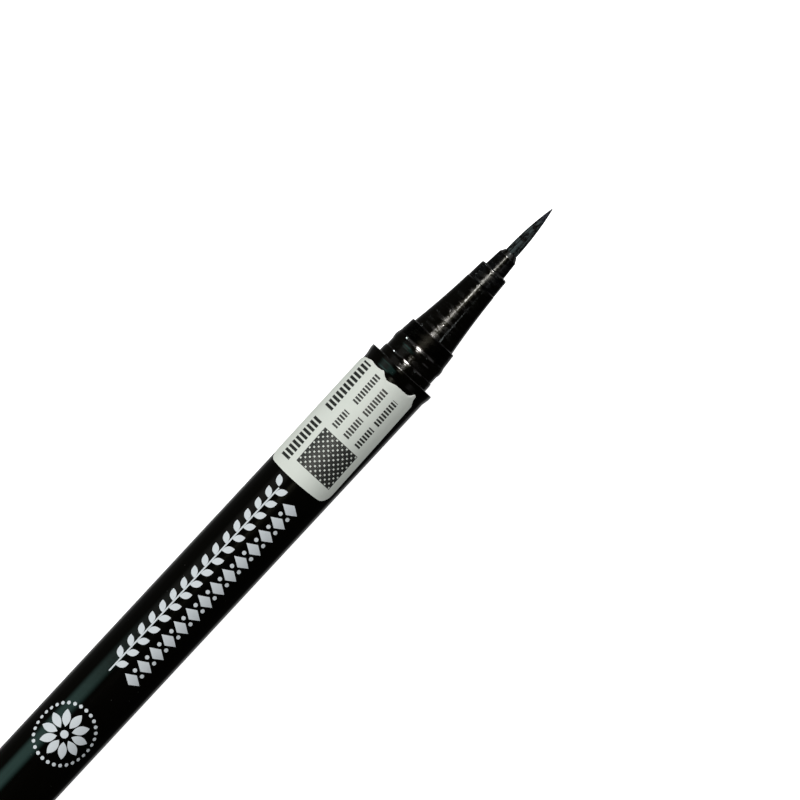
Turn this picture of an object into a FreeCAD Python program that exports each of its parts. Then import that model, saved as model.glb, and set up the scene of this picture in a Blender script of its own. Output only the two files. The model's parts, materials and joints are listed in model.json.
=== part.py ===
import FreeCAD, Part
import math
import os
import Sketcher
from FreeCAD import Vector

# Liquid eyeliner pen, lying on its side with its cap pushed on the tail.
# The pen's axis runs along X with the brush towards +X, and +Z is up.
# Each piece is drawn with x = 0 at the barrel's mouth and the axis at z = 0, then
# placed so that the origin lies on the table below the middle of the whole pen.

# Driving sizes in millimetres, degrees and turns.
SIZES = {
    # fits
    "press_gap": 0.02,
    "slide_gap": 0.06,
    "snap_gap": 0.03,
    "face_gap": 0.05,
    # barrel
    "barrel_diameter": 10.4,
    "barrel_length": 84.0,
    "barrel_wall": 0.95,
    "lip_height": 0.2,
    "lip_length": 0.6,
    "lip_taper": 1.0,
    "rim_round": 0.12,
    # cap seat, the same in front of the mouth and on the tail
    "seat_length": 1.25,
    "neck_depth": 0.17,
    "neck_length": 1.2,
    "bead_height": 0.1,
    "bead_length": 1.5,
    # front section
    "flange_drop": 0.08,
    "flange_taper": 0.22,
    "flange_length": 2.3,
    "cone_step": 0.32,
    "cone_length": 9.6,
    "cone_flare": 0.1,
    "section_wall": 0.9,
    "skirt_length": 17.0,
    # brush holder
    "nozzle_wall": 0.5,
    "nozzle_taper": 0.2,
    "nozzle_length": 3.3,
    "nozzle_bevel": 0.75,
    "nozzle_lip": 0.06,
    "collar_step": 0.56,
    "collar_taper": 0.16,
    "collar_length": 2.75,
    "collar_round": 0.3,
    "cone_front_step": 0.06,
    "seam_chamfer": 0.12,
    "spigot_wall": 0.45,
    "spigot_length": 5.0,
    "chamber_step": 0.5,
    # brush
    "tuft_diameter": 1.76,
    "tuft_exposed": 8.3,
    "tuft_point": 0.1,
    "tuft_gap": 0.04,
    "butt_rim": 0.3,
    "butt_length": 0.8,
    "retainer_length": 1.2,
    # ink feed
    "rod_diameter": 1.2,
    "rod_reach": 4.0,
    "collector_reach": 2.4,
    "nose_clear": 1.0,
    "collector_gap": 0.1,
    "core_wall": 1.1,
    "fin_lead": 0.8,
    "fin_thickness": 0.4,
    "fin_gap": 0.4,
    "air_slot": 0.8,
    "stopper_length": 3.0,
    "stopper_rim": 1.0,
    # tail
    "plug_length": 7.0,
    "plug_wall": 1.2,
    "tail_flange": 1.0,
    "post_short": 0.9,
    "post_taper": 0.2,
    # mixing ball
    "ball_diameter": 4.8,
    "ball_gap": 0.05,
    "ball_place": 8.0,
    # cap and inner cap
    "snap_length": 0.7,
    "ridge_clear": 0.1,
    "ridge_length": 0.5,
    "cap_end_wall": 1.5,
    "cap_end_round": 0.7,
    "inner_rim_length": 1.2,
    "inner_rim_height": 0.1,
    "inner_wall": 0.5,
    "inner_end_wall": 0.8,
    "tip_room": 1.2,
    "nose_room": 0.6,
    # spring between cap and inner cap
    "spring_length": 5.5,
    "spring_turns": 4.5,
    "wire_diameter": 0.4,
    "coil_gap": 0.1,
    "boss_diameter": 3.0,
    "boss_length": 1.0,
    # cut seal label
    "label_thickness": 0.14,
    "label_margin": 0.1,
    "label_length": 19.4,
    "label_width": 12.7,
    "label_turn": 10.0,
    "cap_label_length": 17.0,
    "cap_label_margin": 0.4,
}

# Places along the axis (names in x) and radii (names in r), worked out from the sizes.
FORMULAS = {
    # radii of barrel and cap seat
    "barrel_r": "Dims.barrel_diameter / 2",
    "bore_r": "barrel_r - Dims.barrel_wall",
    "lip_r": "barrel_r + Dims.lip_height",
    "seat_r": "bore_r - Dims.press_gap",
    "neck_r": "seat_r - Dims.neck_depth",
    "bead_r": "neck_r + Dims.bead_height",
    "flange_rear_r": "neck_r - Dims.flange_drop",
    "bead_bow": "Dims.bead_height + Dims.flange_drop / 2",
    # radii of brush and holder
    "tuft_r": "Dims.tuft_diameter / 2",
    "tuft_point_r": "Dims.tuft_point / 2",
    "tuft_bow": "(tuft_r - tuft_point_r) / 4",
    "holder_bore_r": "tuft_r + Dims.tuft_gap",
    "nozzle_front_r": "holder_bore_r + Dims.nozzle_wall",
    "nozzle_rear_r": "nozzle_front_r + Dims.nozzle_taper",
    "nozzle_lip_r": "holder_bore_r + Dims.nozzle_lip",
    "collar_front_r": "nozzle_rear_r + Dims.collar_step",
    "collar_rear_r": "collar_front_r + Dims.collar_taper",
    "butt_r": "tuft_r + Dims.butt_rim",
    "butt_seat_r": "butt_r + Dims.press_gap",
    "spigot_r": "butt_seat_r + Dims.spigot_wall",
    # radii of front section
    "flange_front_r": "flange_rear_r - Dims.flange_taper",
    "cone_base_r": "flange_front_r - Dims.cone_step",
    "cone_front_r": "collar_rear_r + Dims.cone_front_step",
    "cone_bow": "-Dims.cone_flare",
    "socket_r": "spigot_r + Dims.press_gap",
    "chamber_r": "socket_r + Dims.chamber_step",
    "section_bore_r": "seat_r - Dims.section_wall",
    # radii of ink feed
    "rod_r": "Dims.rod_diameter / 2",
    "rod_hole_r": "rod_r + Dims.press_gap",
    "nose_r": "chamber_r - Dims.collector_gap",
    "fin_r": "section_bore_r - Dims.collector_gap",
    "fin_root_r": "rod_hole_r + Dims.core_wall",
    "stopper_r": "section_bore_r - Dims.press_gap",
    # stations from the mouth to the brush tip
    "mouth_x": "0",
    "seat_x": "Dims.seat_length",
    "neck_x": "seat_x + Dims.neck_length",
    "bead_x": "neck_x + Dims.bead_length",
    "flange_x": "bead_x + Dims.flange_length",
    "cone_front_x": "flange_x + Dims.cone_length",
    "collar_front_x": "cone_front_x + Dims.collar_length",
    "nozzle_front_x": "collar_front_x + Dims.nozzle_length",
    "bevel_x": "nozzle_front_x - Dims.nozzle_bevel",
    "brush_tip_x": "nozzle_front_x + Dims.tuft_exposed",
    # stations inside the nose
    "spigot_x": "cone_front_x - Dims.spigot_length",
    "socket_x": "spigot_x - Dims.face_gap",
    "butt_x": "spigot_x + Dims.retainer_length",
    "butt_front_x": "butt_x + Dims.butt_length",
    "shoulder_x": "Dims.collector_reach",
    "collector_shoulder_x": "shoulder_x - Dims.face_gap",
    "collector_front_x": "socket_x - Dims.nose_clear",
    "skirt_x": "-Dims.skirt_length",
    "stopper_x": "skirt_x + Dims.stopper_length",
    "collector_rear_x": "skirt_x - Dims.stopper_rim",
    "rod_rear_x": "collector_rear_x - Dims.rod_reach",
    # fins of the collector, counted back from its shoulder
    "fin_pitch": "Dims.fin_thickness + Dims.fin_gap",
    "fin_front_x": "collector_shoulder_x - Dims.fin_lead",
    "fin_gap_x": "fin_front_x - Dims.fin_gap",
    "fin_count": "floor((fin_front_x - stopper_x) / fin_pitch)",
    "fin_reach": "fin_pitch * (fin_count - 1)",
    "slot_rear_x": "fin_gap_x - fin_reach",
    "slot_half": "Dims.air_slot / 2",
    "slot_low": "-slot_half",
    # barrel and tail
    "lip_x": "-Dims.lip_length",
    "lip_end_x": "lip_x - Dims.lip_taper",
    "tail_x": "-Dims.barrel_length",
    "plug_front_x": "tail_x + Dims.plug_length",
    "plug_bore_r": "seat_r - Dims.plug_wall",
    "tail_face_x": "tail_x - Dims.tail_flange",
    "post_seat_x": "tail_face_x - Dims.seat_length",
    "post_neck_x": "post_seat_x - Dims.neck_length",
    "post_bead_x": "post_neck_x - Dims.bead_length",
    "post_end_x": "post_bead_x - Dims.flange_length + Dims.post_short",
    "post_end_r": "flange_rear_r - Dims.post_taper",
    # mixing ball, lying on the wall of the tank
    "ball_r": "Dims.ball_diameter / 2",
    "ball_drop": "bore_r - ball_r - Dims.ball_gap",
    "ball_x": "plug_front_x + Dims.ball_place",
    # cap, counted back from its mouth
    "cap_bore_r": "max(seat_r; bead_r) + Dims.slide_gap",
    "snap_bow": "cap_bore_r - bead_r - Dims.snap_gap",
    "ridge_bow": "cap_bore_r - neck_r - Dims.slide_gap",
    "cap_mouth_x": "tail_face_x - Dims.face_gap",
    "snap_x": "cap_mouth_x - Dims.seat_length - (Dims.neck_length - Dims.snap_length) / 2",
    "snap_rear_x": "snap_x - Dims.snap_length",
    "ridge_x": "post_end_x - Dims.ridge_clear",
    "ridge_rear_x": "ridge_x - Dims.ridge_length",
    "inner_mouth_x": "ridge_rear_x - Dims.face_gap",
    "inner_rim_x": "inner_mouth_x - Dims.inner_rim_length",
    "inner_floor_x": "cap_mouth_x - brush_tip_x - Dims.tip_room",
    "inner_end_x": "inner_floor_x - Dims.inner_end_wall",
    "inner_boss_x": "inner_end_x - Dims.boss_length",
    "cap_floor_x": "inner_end_x - Dims.spring_length",
    "cap_boss_x": "cap_floor_x + Dims.boss_length",
    "cap_end_x": "cap_floor_x - Dims.cap_end_wall",
    "cap_end_round": "min(Dims.cap_end_round; Dims.cap_end_wall * 0.6)",
    "inner_rim_r": "cap_bore_r - Dims.slide_gap",
    "inner_tube_r": "inner_rim_r - Dims.inner_rim_height",
    "inner_bore_r": "inner_tube_r - Dims.inner_wall",
    "inner_bore_end_r": "tuft_r + Dims.nose_room",
    "inner_tube_end_r": "inner_bore_end_r + Dims.inner_wall",
    "boss_r": "Dims.boss_diameter / 2",
    "coil_r": "boss_r + Dims.coil_gap + Dims.wire_diameter / 2",
    # labels
    "label_x": "lip_end_x - Dims.label_margin",
    "label_end_x": "label_x - Dims.label_length",
    "label_in_r": "barrel_r + Dims.press_gap",
    "label_out_r": "label_in_r + Dims.label_thickness",
    "label_angle": "Dims.label_width / label_out_r * 180 / pi",
    "cap_label_x": "cap_mouth_x - Dims.cap_label_margin",
    "cap_label_end_x": "cap_label_x - Dims.cap_label_length",
    "cap_label_in_r": "lip_r + Dims.press_gap",
    "cap_label_out_r": "cap_label_in_r + Dims.label_thickness",
    "cap_label_angle": "Dims.label_width / cap_label_out_r * 180 / pi",
    # where the drawn axis and mouth lie in the whole pen
    "pen_x": "-(brush_tip_x + cap_end_x) / 2",
    "pen_z": "lip_r",
}

AXIS = "axis"
SAME_PLACE = 1e-4

doc = FreeCAD.newDocument("eyeliner_pen")


def fill_sheet(name, cells):
    """A sheet with one named cell per row."""
    sheet = doc.addObject("Spreadsheet::Sheet", name)
    for row, (alias, content) in enumerate(cells.items(), start=1):
        sheet.set(f"A{row}", alias)
        sheet.set(f"B{row}", content)
        sheet.setAlias(f"B{row}", alias)
    doc.recompute()
    return sheet


sizes = fill_sheet("Dims", {alias: str(value) for alias, value in SIZES.items()})
places = fill_sheet("Places", {alias: "=" + formula for alias, formula in FORMULAS.items()})


def size(alias):
    """The present value of a driving size."""
    return float(sizes.get(alias))


def place(alias):
    """The present value of a worked-out place or radius, 0 on the axis."""
    return 0.0 if alias == AXIS else float(places.get(alias))


def lay(piece, along="0", down="0"):
    """Move a piece from where it is drawn to its place in the whole pen."""
    piece.setExpression("Placement.Base.x", f"Places.pen_x + {along}")
    piece.setExpression("Placement.Base.z", f"Places.pen_z - {down}")


def new_sketch(body, name, role="XZ_Plane"):
    """A sketch on one of the body's own origin planes."""
    sketch = body.newObject("Sketcher::SketchObject", name)
    plane = next(feature for feature in body.Origin.OriginFeatures if feature.Role == role)
    sketch.AttachmentSupport = [(plane, "")]
    sketch.MapMode = "FlatFace"
    return sketch


def bowed(start, stop, bow):
    """The arc between two corners that stands off their chord by bow, on the left if positive."""
    along = stop - start
    left = Vector(-along.y, along.x, 0).normalize()
    return Part.Arc(start, (start + stop) / 2 + left * bow, stop)


def pin(sketch, edge, end, across, up):
    """Hold one corner of a sketch at its named place and radius."""
    for kind, alias in (("DistanceX", across), ("DistanceY", up)):
        if alias == AXIS:
            sketch.addConstraint(Sketcher.Constraint("PointOnObject", edge, end, -1))
        else:
            held = sketch.addConstraint(Sketcher.Constraint(kind, -1, 1, edge, end, place(alias)))
            sketch.setExpression(f"Constraints[{held}]", f"Places.{alias}")


def round_off(sketch, edge, corner, follow):
    """Hold an arc between two corners at the radius that its bow gives."""
    across = f"(Places.{follow[0]} - Places.{corner[0]})"
    up = f"(Places.{follow[1]} - Places.{corner[1]})"
    bow = f"Places.{corner[2]}"
    radius = sketch.Geometry[edge].Radius
    held = sketch.addConstraint(Sketcher.Constraint("Radius", edge, radius))
    sketch.setExpression(f"Constraints[{held}]", f"({across}^2 + {up}^2 + 4 * {bow}^2) / (8 * abs({bow}))")


def draw(sketch, corners):
    """A closed outline through corners (place, radius[, bow of the arc to the next corner])."""
    spots = [Vector(place(corner[0]), place(corner[1]), 0) for corner in corners]
    starts = []
    stops = []
    for index, corner in enumerate(corners):
        start = spots[index]
        stop = spots[(index + 1) % len(spots)]
        line = Part.LineSegment(start, stop) if len(corner) == 2 else bowed(start, stop, place(corner[2]))
        edge = sketch.addGeometry(line)
        forward = sketch.getPoint(edge, 1).isEqual(start, SAME_PLACE)
        starts.append((edge, 1 if forward else 2))
        stops.append((edge, 2 if forward else 1))
    for index, corner in enumerate(corners):
        following = (index + 1) % len(corners)
        sketch.addConstraint(Sketcher.Constraint("Coincident", *stops[index], *starts[following]))
        pin(sketch, *starts[index], corner[0], corner[1])
        if len(corner) == 3:
            round_off(sketch, starts[index][0], corner, corners[following])


def turned(label, corners):
    """A body of revolution about the pen's axis."""
    body = doc.addObject("PartDesign::Body", label)
    body.Label = label
    lay(body)
    sketch = new_sketch(body, label + "_outline")
    draw(sketch, corners)
    spin = body.newObject("PartDesign::Revolution", label + "_turned")
    spin.Profile = sketch
    spin.ReferenceAxis = (sketch, ["H_Axis"])
    spin.Angle = 360
    doc.recompute()
    return body


def rings(feature, spots):
    """Names of the circular edges at (place, radius) spots."""
    found = []
    for along, radius in spots:
        for number, edge in enumerate(feature.Shape.Edges, start=1):
            if not isinstance(edge.Curve, Part.Circle):
                continue
            off = abs(edge.Curve.Center.x - place(along)) + abs(edge.Curve.Radius - place(radius))
            if off < SAME_PLACE:
                found.append(f"Edge{number}")
    return found


def soften(body, kind, amount, edges):
    """Fillet or chamfer edges of the body's last feature."""
    base = body.Tip
    soft = body.newObject("PartDesign::" + kind, f"{body.Name}_{kind}")
    soft.Base = (base, edges)
    soft.setExpression("Radius" if kind == "Fillet" else "Size", amount)
    doc.recompute()


def round_rings(body, amount, *spots):
    soften(body, "Fillet", amount, rings(body.Tip, spots))


def bevel_rings(body, amount, *spots):
    soften(body, "Chamfer", amount, rings(body.Tip, spots))


def barrel_tube():
    """Plain tube that is the tank too, with a proud lip at its mouth."""
    body = turned("barrel_tube", [
        ("tail_x", "barrel_r"),
        ("lip_end_x", "barrel_r"),
        ("lip_x", "lip_r"),
        ("mouth_x", "lip_r"),
        ("mouth_x", "bore_r"),
        ("tail_x", "bore_r"),
    ])
    round_rings(body, "Dims.rim_round", ("mouth_x", "lip_r"))
    return body


def front_section():
    """Skirt in the barrel, cap seat with neck and snap bead, tapered flange and cone."""
    body = turned("front_section", [
        ("skirt_x", "seat_r"),
        ("seat_x", "seat_r"),
        ("seat_x", "neck_r"),
        ("neck_x", "neck_r", "bead_bow"),
        ("bead_x", "flange_rear_r"),
        ("flange_x", "flange_front_r"),
        ("flange_x", "cone_base_r", "cone_bow"),
        ("cone_front_x", "cone_front_r"),
        ("cone_front_x", "socket_r"),
        ("socket_x", "socket_r"),
        ("socket_x", "chamber_r"),
        ("shoulder_x", "chamber_r"),
        ("shoulder_x", "section_bore_r"),
        ("skirt_x", "section_bore_r"),
    ])
    round_rings(body, "Dims.rim_round", ("flange_x", "flange_front_r"))
    bevel_rings(body, "Dims.seam_chamfer", ("cone_front_x", "cone_front_r"))
    return body


def brush_holder():
    """Nozzle and collar in front of the cone, with a spigot pressed into it."""
    body = turned("brush_holder", [
        ("spigot_x", "spigot_r"),
        ("cone_front_x", "spigot_r"),
        ("cone_front_x", "collar_rear_r"),
        ("collar_front_x", "collar_front_r"),
        ("collar_front_x", "nozzle_rear_r"),
        ("bevel_x", "nozzle_front_r"),
        ("nozzle_front_x", "nozzle_lip_r"),
        ("nozzle_front_x", "holder_bore_r"),
        ("butt_front_x", "holder_bore_r"),
        ("butt_front_x", "butt_seat_r"),
        ("spigot_x", "butt_seat_r"),
    ])
    round_rings(body, "Dims.collar_round", ("collar_front_x", "collar_front_r"))
    bevel_rings(body, "Dims.seam_chamfer", ("cone_front_x", "collar_rear_r"))
    return body


def brush_tuft():
    """Filament bundle with a fused butt, drawn to a point."""
    return turned("brush_tuft", [
        ("butt_x", AXIS),
        ("butt_x", "butt_r"),
        ("butt_front_x", "butt_r"),
        ("butt_front_x", "tuft_r"),
        ("nozzle_front_x", "tuft_r", "tuft_bow"),
        ("brush_tip_x", "tuft_point_r"),
        ("brush_tip_x", AXIS),
    ])


def brush_retainer():
    """Ring pressed into the holder behind the brush butt."""
    return turned("brush_retainer", [
        ("spigot_x", "rod_hole_r"),
        ("spigot_x", "butt_r"),
        ("butt_x", "butt_r"),
        ("butt_x", "rod_hole_r"),
    ])


def feed_rod():
    """Fibre rod from the tank to the back of the brush butt."""
    return turned("feed_rod", [
        ("rod_rear_x", AXIS),
        ("rod_rear_x", "rod_r"),
        ("butt_x", "rod_r"),
        ("butt_x", AXIS),
    ])


def ink_collector():
    """Finned ink buffer with a stopper that closes the front of the tank."""
    body = turned("ink_collector", [
        ("collector_rear_x", "rod_hole_r"),
        ("collector_rear_x", "seat_r"),
        ("skirt_x", "seat_r"),
        ("skirt_x", "stopper_r"),
        ("stopper_x", "stopper_r"),
        ("stopper_x", "fin_r"),
        ("collector_shoulder_x", "fin_r"),
        ("collector_shoulder_x", "nose_r"),
        ("collector_front_x", "nose_r"),
        ("collector_front_x", "rod_hole_r"),
    ])
    plain = body.Shape.Volume
    gap_sketch = new_sketch(body, "fin_gap_outline")
    draw(gap_sketch, [
        ("fin_gap_x", "fin_root_r"),
        ("fin_gap_x", "section_bore_r"),
        ("fin_front_x", "section_bore_r"),
        ("fin_front_x", "fin_root_r"),
    ])
    gap = body.newObject("PartDesign::Groove", "fin_gap")
    gap.Profile = gap_sketch
    gap.ReferenceAxis = (gap_sketch, ["H_Axis"])
    gap.Angle = 360
    doc.recompute()
    fins = body.newObject("PartDesign::LinearPattern", "fin_gaps")
    fins.Originals = [gap]
    fins.Direction = (gap_sketch, ["H_Axis"])
    fins.Reversed = True
    fins.setExpression("Length", "Places.fin_reach")
    fins.setExpression("Occurrences", "Places.fin_count")
    body.Tip = fins
    doc.recompute()
    finned = body.Shape.Volume
    slot_sketch = new_sketch(body, "air_slot_outline", "XY_Plane")
    slot_sketch.setExpression("AttachmentOffset.Base.z", "Places.fin_root_r")
    draw(slot_sketch, [
        ("slot_rear_x", "slot_low"),
        ("fin_front_x", "slot_low"),
        ("fin_front_x", "slot_half"),
        ("slot_rear_x", "slot_half"),
    ])
    slot = body.newObject("PartDesign::Pocket", "air_slot")
    slot.Profile = slot_sketch
    slot.Type = "ThroughAll"
    slot.Reversed = True
    doc.recompute()
    if not body.Shape.Volume < finned < plain:
        raise RuntimeError("the collector's gaps or its air slot cut nothing")
    return body


def tail_plug():
    """Hollow plug pressed into the tail, with a post shaped like the front cap seat."""
    body = turned("tail_plug", [
        ("post_end_x", AXIS),
        ("post_end_x", "post_end_r"),
        ("post_bead_x", "flange_rear_r", "bead_bow"),
        ("post_neck_x", "neck_r"),
        ("post_seat_x", "neck_r"),
        ("post_seat_x", "seat_r"),
        ("tail_face_x", "seat_r"),
        ("tail_face_x", "barrel_r"),
        ("tail_x", "barrel_r"),
        ("tail_x", "seat_r"),
        ("plug_front_x", "seat_r"),
        ("plug_front_x", "plug_bore_r"),
        ("tail_x", "plug_bore_r"),
        ("tail_x", AXIS),
    ])
    round_rings(body, "Dims.rim_round", ("tail_face_x", "barrel_r"), ("post_end_x", "post_end_r"))
    return body


def mixing_ball():
    """Steel ball that lies on the wall of the tank and rolls along it."""
    ball = doc.addObject("Part::Sphere", "mixing_ball")
    ball.Label = "mixing_ball"
    ball.setExpression("Radius", "Places.ball_r")
    lay(ball, along="Places.ball_x", down="Places.ball_drop")
    return ball


def cap_shell():
    """Cap with a snap ring, a ridge that holds the inner cap in and a boss for the spring."""
    body = turned("cap_shell", [
        ("cap_end_x", AXIS),
        ("cap_end_x", "lip_r"),
        ("cap_mouth_x", "lip_r"),
        ("cap_mouth_x", "cap_bore_r"),
        ("snap_x", "cap_bore_r", "snap_bow"),
        ("snap_rear_x", "cap_bore_r"),
        ("ridge_x", "cap_bore_r", "ridge_bow"),
        ("ridge_rear_x", "cap_bore_r"),
        ("cap_floor_x", "cap_bore_r"),
        ("cap_floor_x", "boss_r"),
        ("cap_boss_x", "boss_r"),
        ("cap_boss_x", AXIS),
    ])
    round_rings(body, "Places.cap_end_round", ("cap_end_x", "lip_r"))
    round_rings(body, "Dims.rim_round", ("cap_mouth_x", "lip_r"))
    return body


def inner_cap():
    """Tapered liner that closes over the cone, with a rim behind the cap's ridge."""
    return turned("inner_cap", [
        ("inner_boss_x", AXIS),
        ("inner_boss_x", "boss_r"),
        ("inner_end_x", "boss_r"),
        ("inner_end_x", "inner_tube_end_r"),
        ("inner_rim_x", "inner_tube_r"),
        ("inner_rim_x", "inner_rim_r"),
        ("inner_mouth_x", "inner_rim_r"),
        ("inner_mouth_x", "inner_bore_r"),
        ("inner_floor_x", "inner_bore_end_r"),
        ("inner_floor_x", AXIS),
    ])


def label(name, corners, angle):
    """Paper label curved round the axis, turned a little about it."""
    body = doc.addObject("PartDesign::Body", name)
    body.Label = name
    sketch = new_sketch(body, name + "_outline")
    draw(sketch, corners)
    spin = body.newObject("PartDesign::Revolution", name + "_curved")
    spin.Profile = sketch
    spin.ReferenceAxis = (sketch, ["H_Axis"])
    spin.Midplane = True
    spin.setExpression("Angle", angle)
    doc.recompute()
    body.Placement = FreeCAD.Placement(Vector(), FreeCAD.Rotation(Vector(1, 0, 0), -size("label_turn")))
    body.setExpression("Placement.Rotation.Angle", "-Dims.label_turn")
    lay(body)
    return body


def barrel_seal_label():
    """The half of the cut seal that stayed on the barrel."""
    return label("barrel_seal_label", [
        ("label_end_x", "label_in_r"),
        ("label_end_x", "label_out_r"),
        ("label_x", "label_out_r"),
        ("label_x", "label_in_r"),
    ], "Places.label_angle")


def cap_seal_label():
    """The half of the cut seal that stayed on the cap."""
    return label("cap_seal_label", [
        ("cap_label_end_x", "cap_label_in_r"),
        ("cap_label_end_x", "cap_label_out_r"),
        ("cap_label_x", "cap_label_out_r"),
        ("cap_label_x", "cap_label_in_r"),
    ], "Places.cap_label_angle")


def arc_from(start, tangent, stop):
    """The circular arc that leaves start along a tangent and ends at stop."""
    chord = stop - start
    along = chord * (1 / chord.Length)
    across = (tangent - along * tangent.dot(along)).normalize()
    rise = chord.Length / 2 * math.tan(tangent.getAngle(chord) / 2)
    return Part.Arc(start, (start + stop) / 2 + across * rise, stop).toShape()


def biarc(start, start_tangent, stop, stop_tangent):
    """Two arcs, tangent where they meet, between two points with given tangents."""
    chord = stop - start
    both = start_tangent + stop_tangent
    spread = 2 * (1 - start_tangent.dot(stop_tangent))
    reach = (-chord.dot(both) + math.sqrt(chord.dot(both) ** 2 + spread * chord.dot(chord))) / spread
    middle = (start + stop + (start_tangent - stop_tangent) * reach) / 2
    middle_tangent = (middle - start - start_tangent * reach).normalize()
    return [arc_from(start, start_tangent, middle), arc_from(middle, middle_tangent, stop)]


def inner_cap_spring():
    """Open coil between the end of the cap and the inner cap, round their bosses."""
    wire_r = size("wire_diameter") / 2
    coil_r = place("coil_r")
    turns = size("spring_turns")
    first_x = place("cap_floor_x") + size("face_gap") + wire_r
    rise = size("spring_length") - 2 * size("face_gap") - 2 * wire_r
    steps = math.ceil(turns * 4)
    sweep = 2 * math.pi * turns

    def spot(step):
        angle = sweep * step / steps
        return Vector(first_x + rise * step / steps, coil_r * math.cos(angle), coil_r * math.sin(angle))

    def heading(step):
        angle = sweep * step / steps
        return Vector(rise / sweep, -coil_r * math.sin(angle), coil_r * math.cos(angle)).normalize()

    edges = []
    for step in range(steps):
        edges += biarc(spot(step), heading(step), spot(step + 1), heading(step + 1))
    section = Part.Wire(Part.makeCircle(wire_r, spot(0), heading(0)))
    shape = Part.Wire(edges).makePipeShell([section], True, False)
    spring = doc.addObject("Part::Feature", "inner_cap_spring")
    spring.Label = "inner_cap_spring"
    spring.Shape = shape
    lay(spring)
    points = [point for edge in edges for point in edge.discretize(8)]
    half_turn = len(points) * 0.5 / turns
    apart = [
        points[i].distanceToPoint(points[j])
        for i in range(len(points))
        for j in range(i + int(half_turn), len(points))
    ]
    print(f"least gap between turns of the spring: {min(apart) - 2 * wire_r:.2f} mm")
    return spring


PIECES = (
    barrel_tube,
    front_section,
    brush_holder,
    brush_tuft,
    brush_retainer,
    feed_rod,
    ink_collector,
    tail_plug,
    mixing_ball,
    cap_shell,
    inner_cap,
    inner_cap_spring,
    barrel_seal_label,
    cap_seal_label,
)

pieces = [make() for make in PIECES]
doc.recompute()

for item in doc.Objects:
    if "Invalid" in item.State or "Error" in item.State:
        raise RuntimeError(f"{item.Name} did not build: {item.State}")

for piece in pieces:
    if piece.Shape.isNull() or not piece.Shape.isValid() or len(piece.Shape.Solids) != 1:
        raise RuntimeError(f"{piece.Label} is not one sound solid")

os.makedirs("parts", exist_ok=True)
for piece in pieces:
    piece.Shape.exportStep(f"parts/{piece.Label}.step")
    print(f"{piece.Label}: {piece.Shape.Volume:.2f} mm3")
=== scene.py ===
import json
import math
from types import SimpleNamespace

import bmesh
import bpy
from bpy.props import FloatProperty, FloatVectorProperty, IntProperty, PointerProperty
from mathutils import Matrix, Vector, noise


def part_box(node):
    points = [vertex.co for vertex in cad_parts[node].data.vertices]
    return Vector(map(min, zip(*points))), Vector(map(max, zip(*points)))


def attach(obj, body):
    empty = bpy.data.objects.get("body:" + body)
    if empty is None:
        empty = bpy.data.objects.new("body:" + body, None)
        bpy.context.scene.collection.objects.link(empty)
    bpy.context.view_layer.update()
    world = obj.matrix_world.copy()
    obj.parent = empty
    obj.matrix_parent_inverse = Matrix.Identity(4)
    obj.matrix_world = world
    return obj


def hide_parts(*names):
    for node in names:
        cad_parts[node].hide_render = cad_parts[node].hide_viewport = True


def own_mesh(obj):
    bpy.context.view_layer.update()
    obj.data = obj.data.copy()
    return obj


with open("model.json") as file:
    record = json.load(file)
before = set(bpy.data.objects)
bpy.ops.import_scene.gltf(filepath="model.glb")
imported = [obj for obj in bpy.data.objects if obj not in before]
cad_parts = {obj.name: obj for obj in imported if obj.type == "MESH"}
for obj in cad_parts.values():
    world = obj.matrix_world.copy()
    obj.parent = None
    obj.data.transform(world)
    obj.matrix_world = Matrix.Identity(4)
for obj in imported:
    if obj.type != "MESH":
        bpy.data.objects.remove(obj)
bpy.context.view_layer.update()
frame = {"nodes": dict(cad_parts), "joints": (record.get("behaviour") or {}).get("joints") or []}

bl_info = {
    "name": "Liquid eyeliner pen",
    "version": (1, 0, 0),
    "blender": (4, 5, 0),
    "location": "3D View > Sidebar > Eyeliner",
    "description": "Dresses the packed eyeliner pen with its mouldings, brush, print, seals and studio",
    "category": "Object",
}

MM = 0.001
PER_MM = 1000.0

BARREL_LOW, BARREL_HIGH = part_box("barrel_tube")
AXIS_Z = (BARREL_LOW.z + BARREL_HIGH.z) / 2
MOUTH_X = BARREL_HIGH.x

# Meshing of turned pieces: facets round the axis, steps in a fillet or bowed run,
# and how near to a corner an extra ring holds the shading, on runs that are long enough.
AROUND = 160
FILLET_STEPS = 6
BOW_STEPS = 16
HOLD = 0.03 * MM
LEAST_HELD_RUN = 5 * HOLD
TINY = 1e-9
WELD = 1e-7
CREASE_ANGLE = math.radians(40)

# Meshing of the grown pieces: steps along filaments and coils, and sides round what is round.
FILAMENT_STEPS = 40
FILAMENT_SIDES = 6
CORE_SIDES = 24
COIL_STEPS = 48
WIRE_SIDES = 16
DISC_SIDES = 18

# Names that shapes and finishes share: each filament's own number, and the seals' unrolled paper.
STRAND = "strand"
SEAL_UV = "seal"

# The brush's core as a share of its radius, and how far filaments stray, as a share of their pitch.
CORE_SHARE = 0.84
FILAMENT_STRAY = 0.35

# The seals' print: inked share of each stroke's pitch, and how far a pale cell reaches in its pitch.
STROKE_SHARE = 0.6
CELL_REACH = 0.27

# The barrel's print: a leaf's stalk as a share of its length, and the dots' place as one of a lozenge.
LEAF_STALK = 0.12
DOT_PLACE = 0.24

PLASTIC_IOR = 1.5
FIBRE_IOR = 1.45


def length(label, millimetres, what):
    """A size that a user may change, given here in millimetres."""
    return FloatProperty(name=label, description=what, default=millimetres * MM, unit="LENGTH", precision=5)


def angle(label, degrees, what):
    """An angle that a user may change, given here in degrees."""
    return FloatProperty(name=label, description=what, default=math.radians(degrees), subtype="ANGLE")


def colour(label, rgb, what):
    """A linear colour that a user may change."""
    return FloatVectorProperty(
        name=label, description=what, default=rgb, subtype="COLOR", size=3, min=0.0, max=1.0
    )


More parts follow.
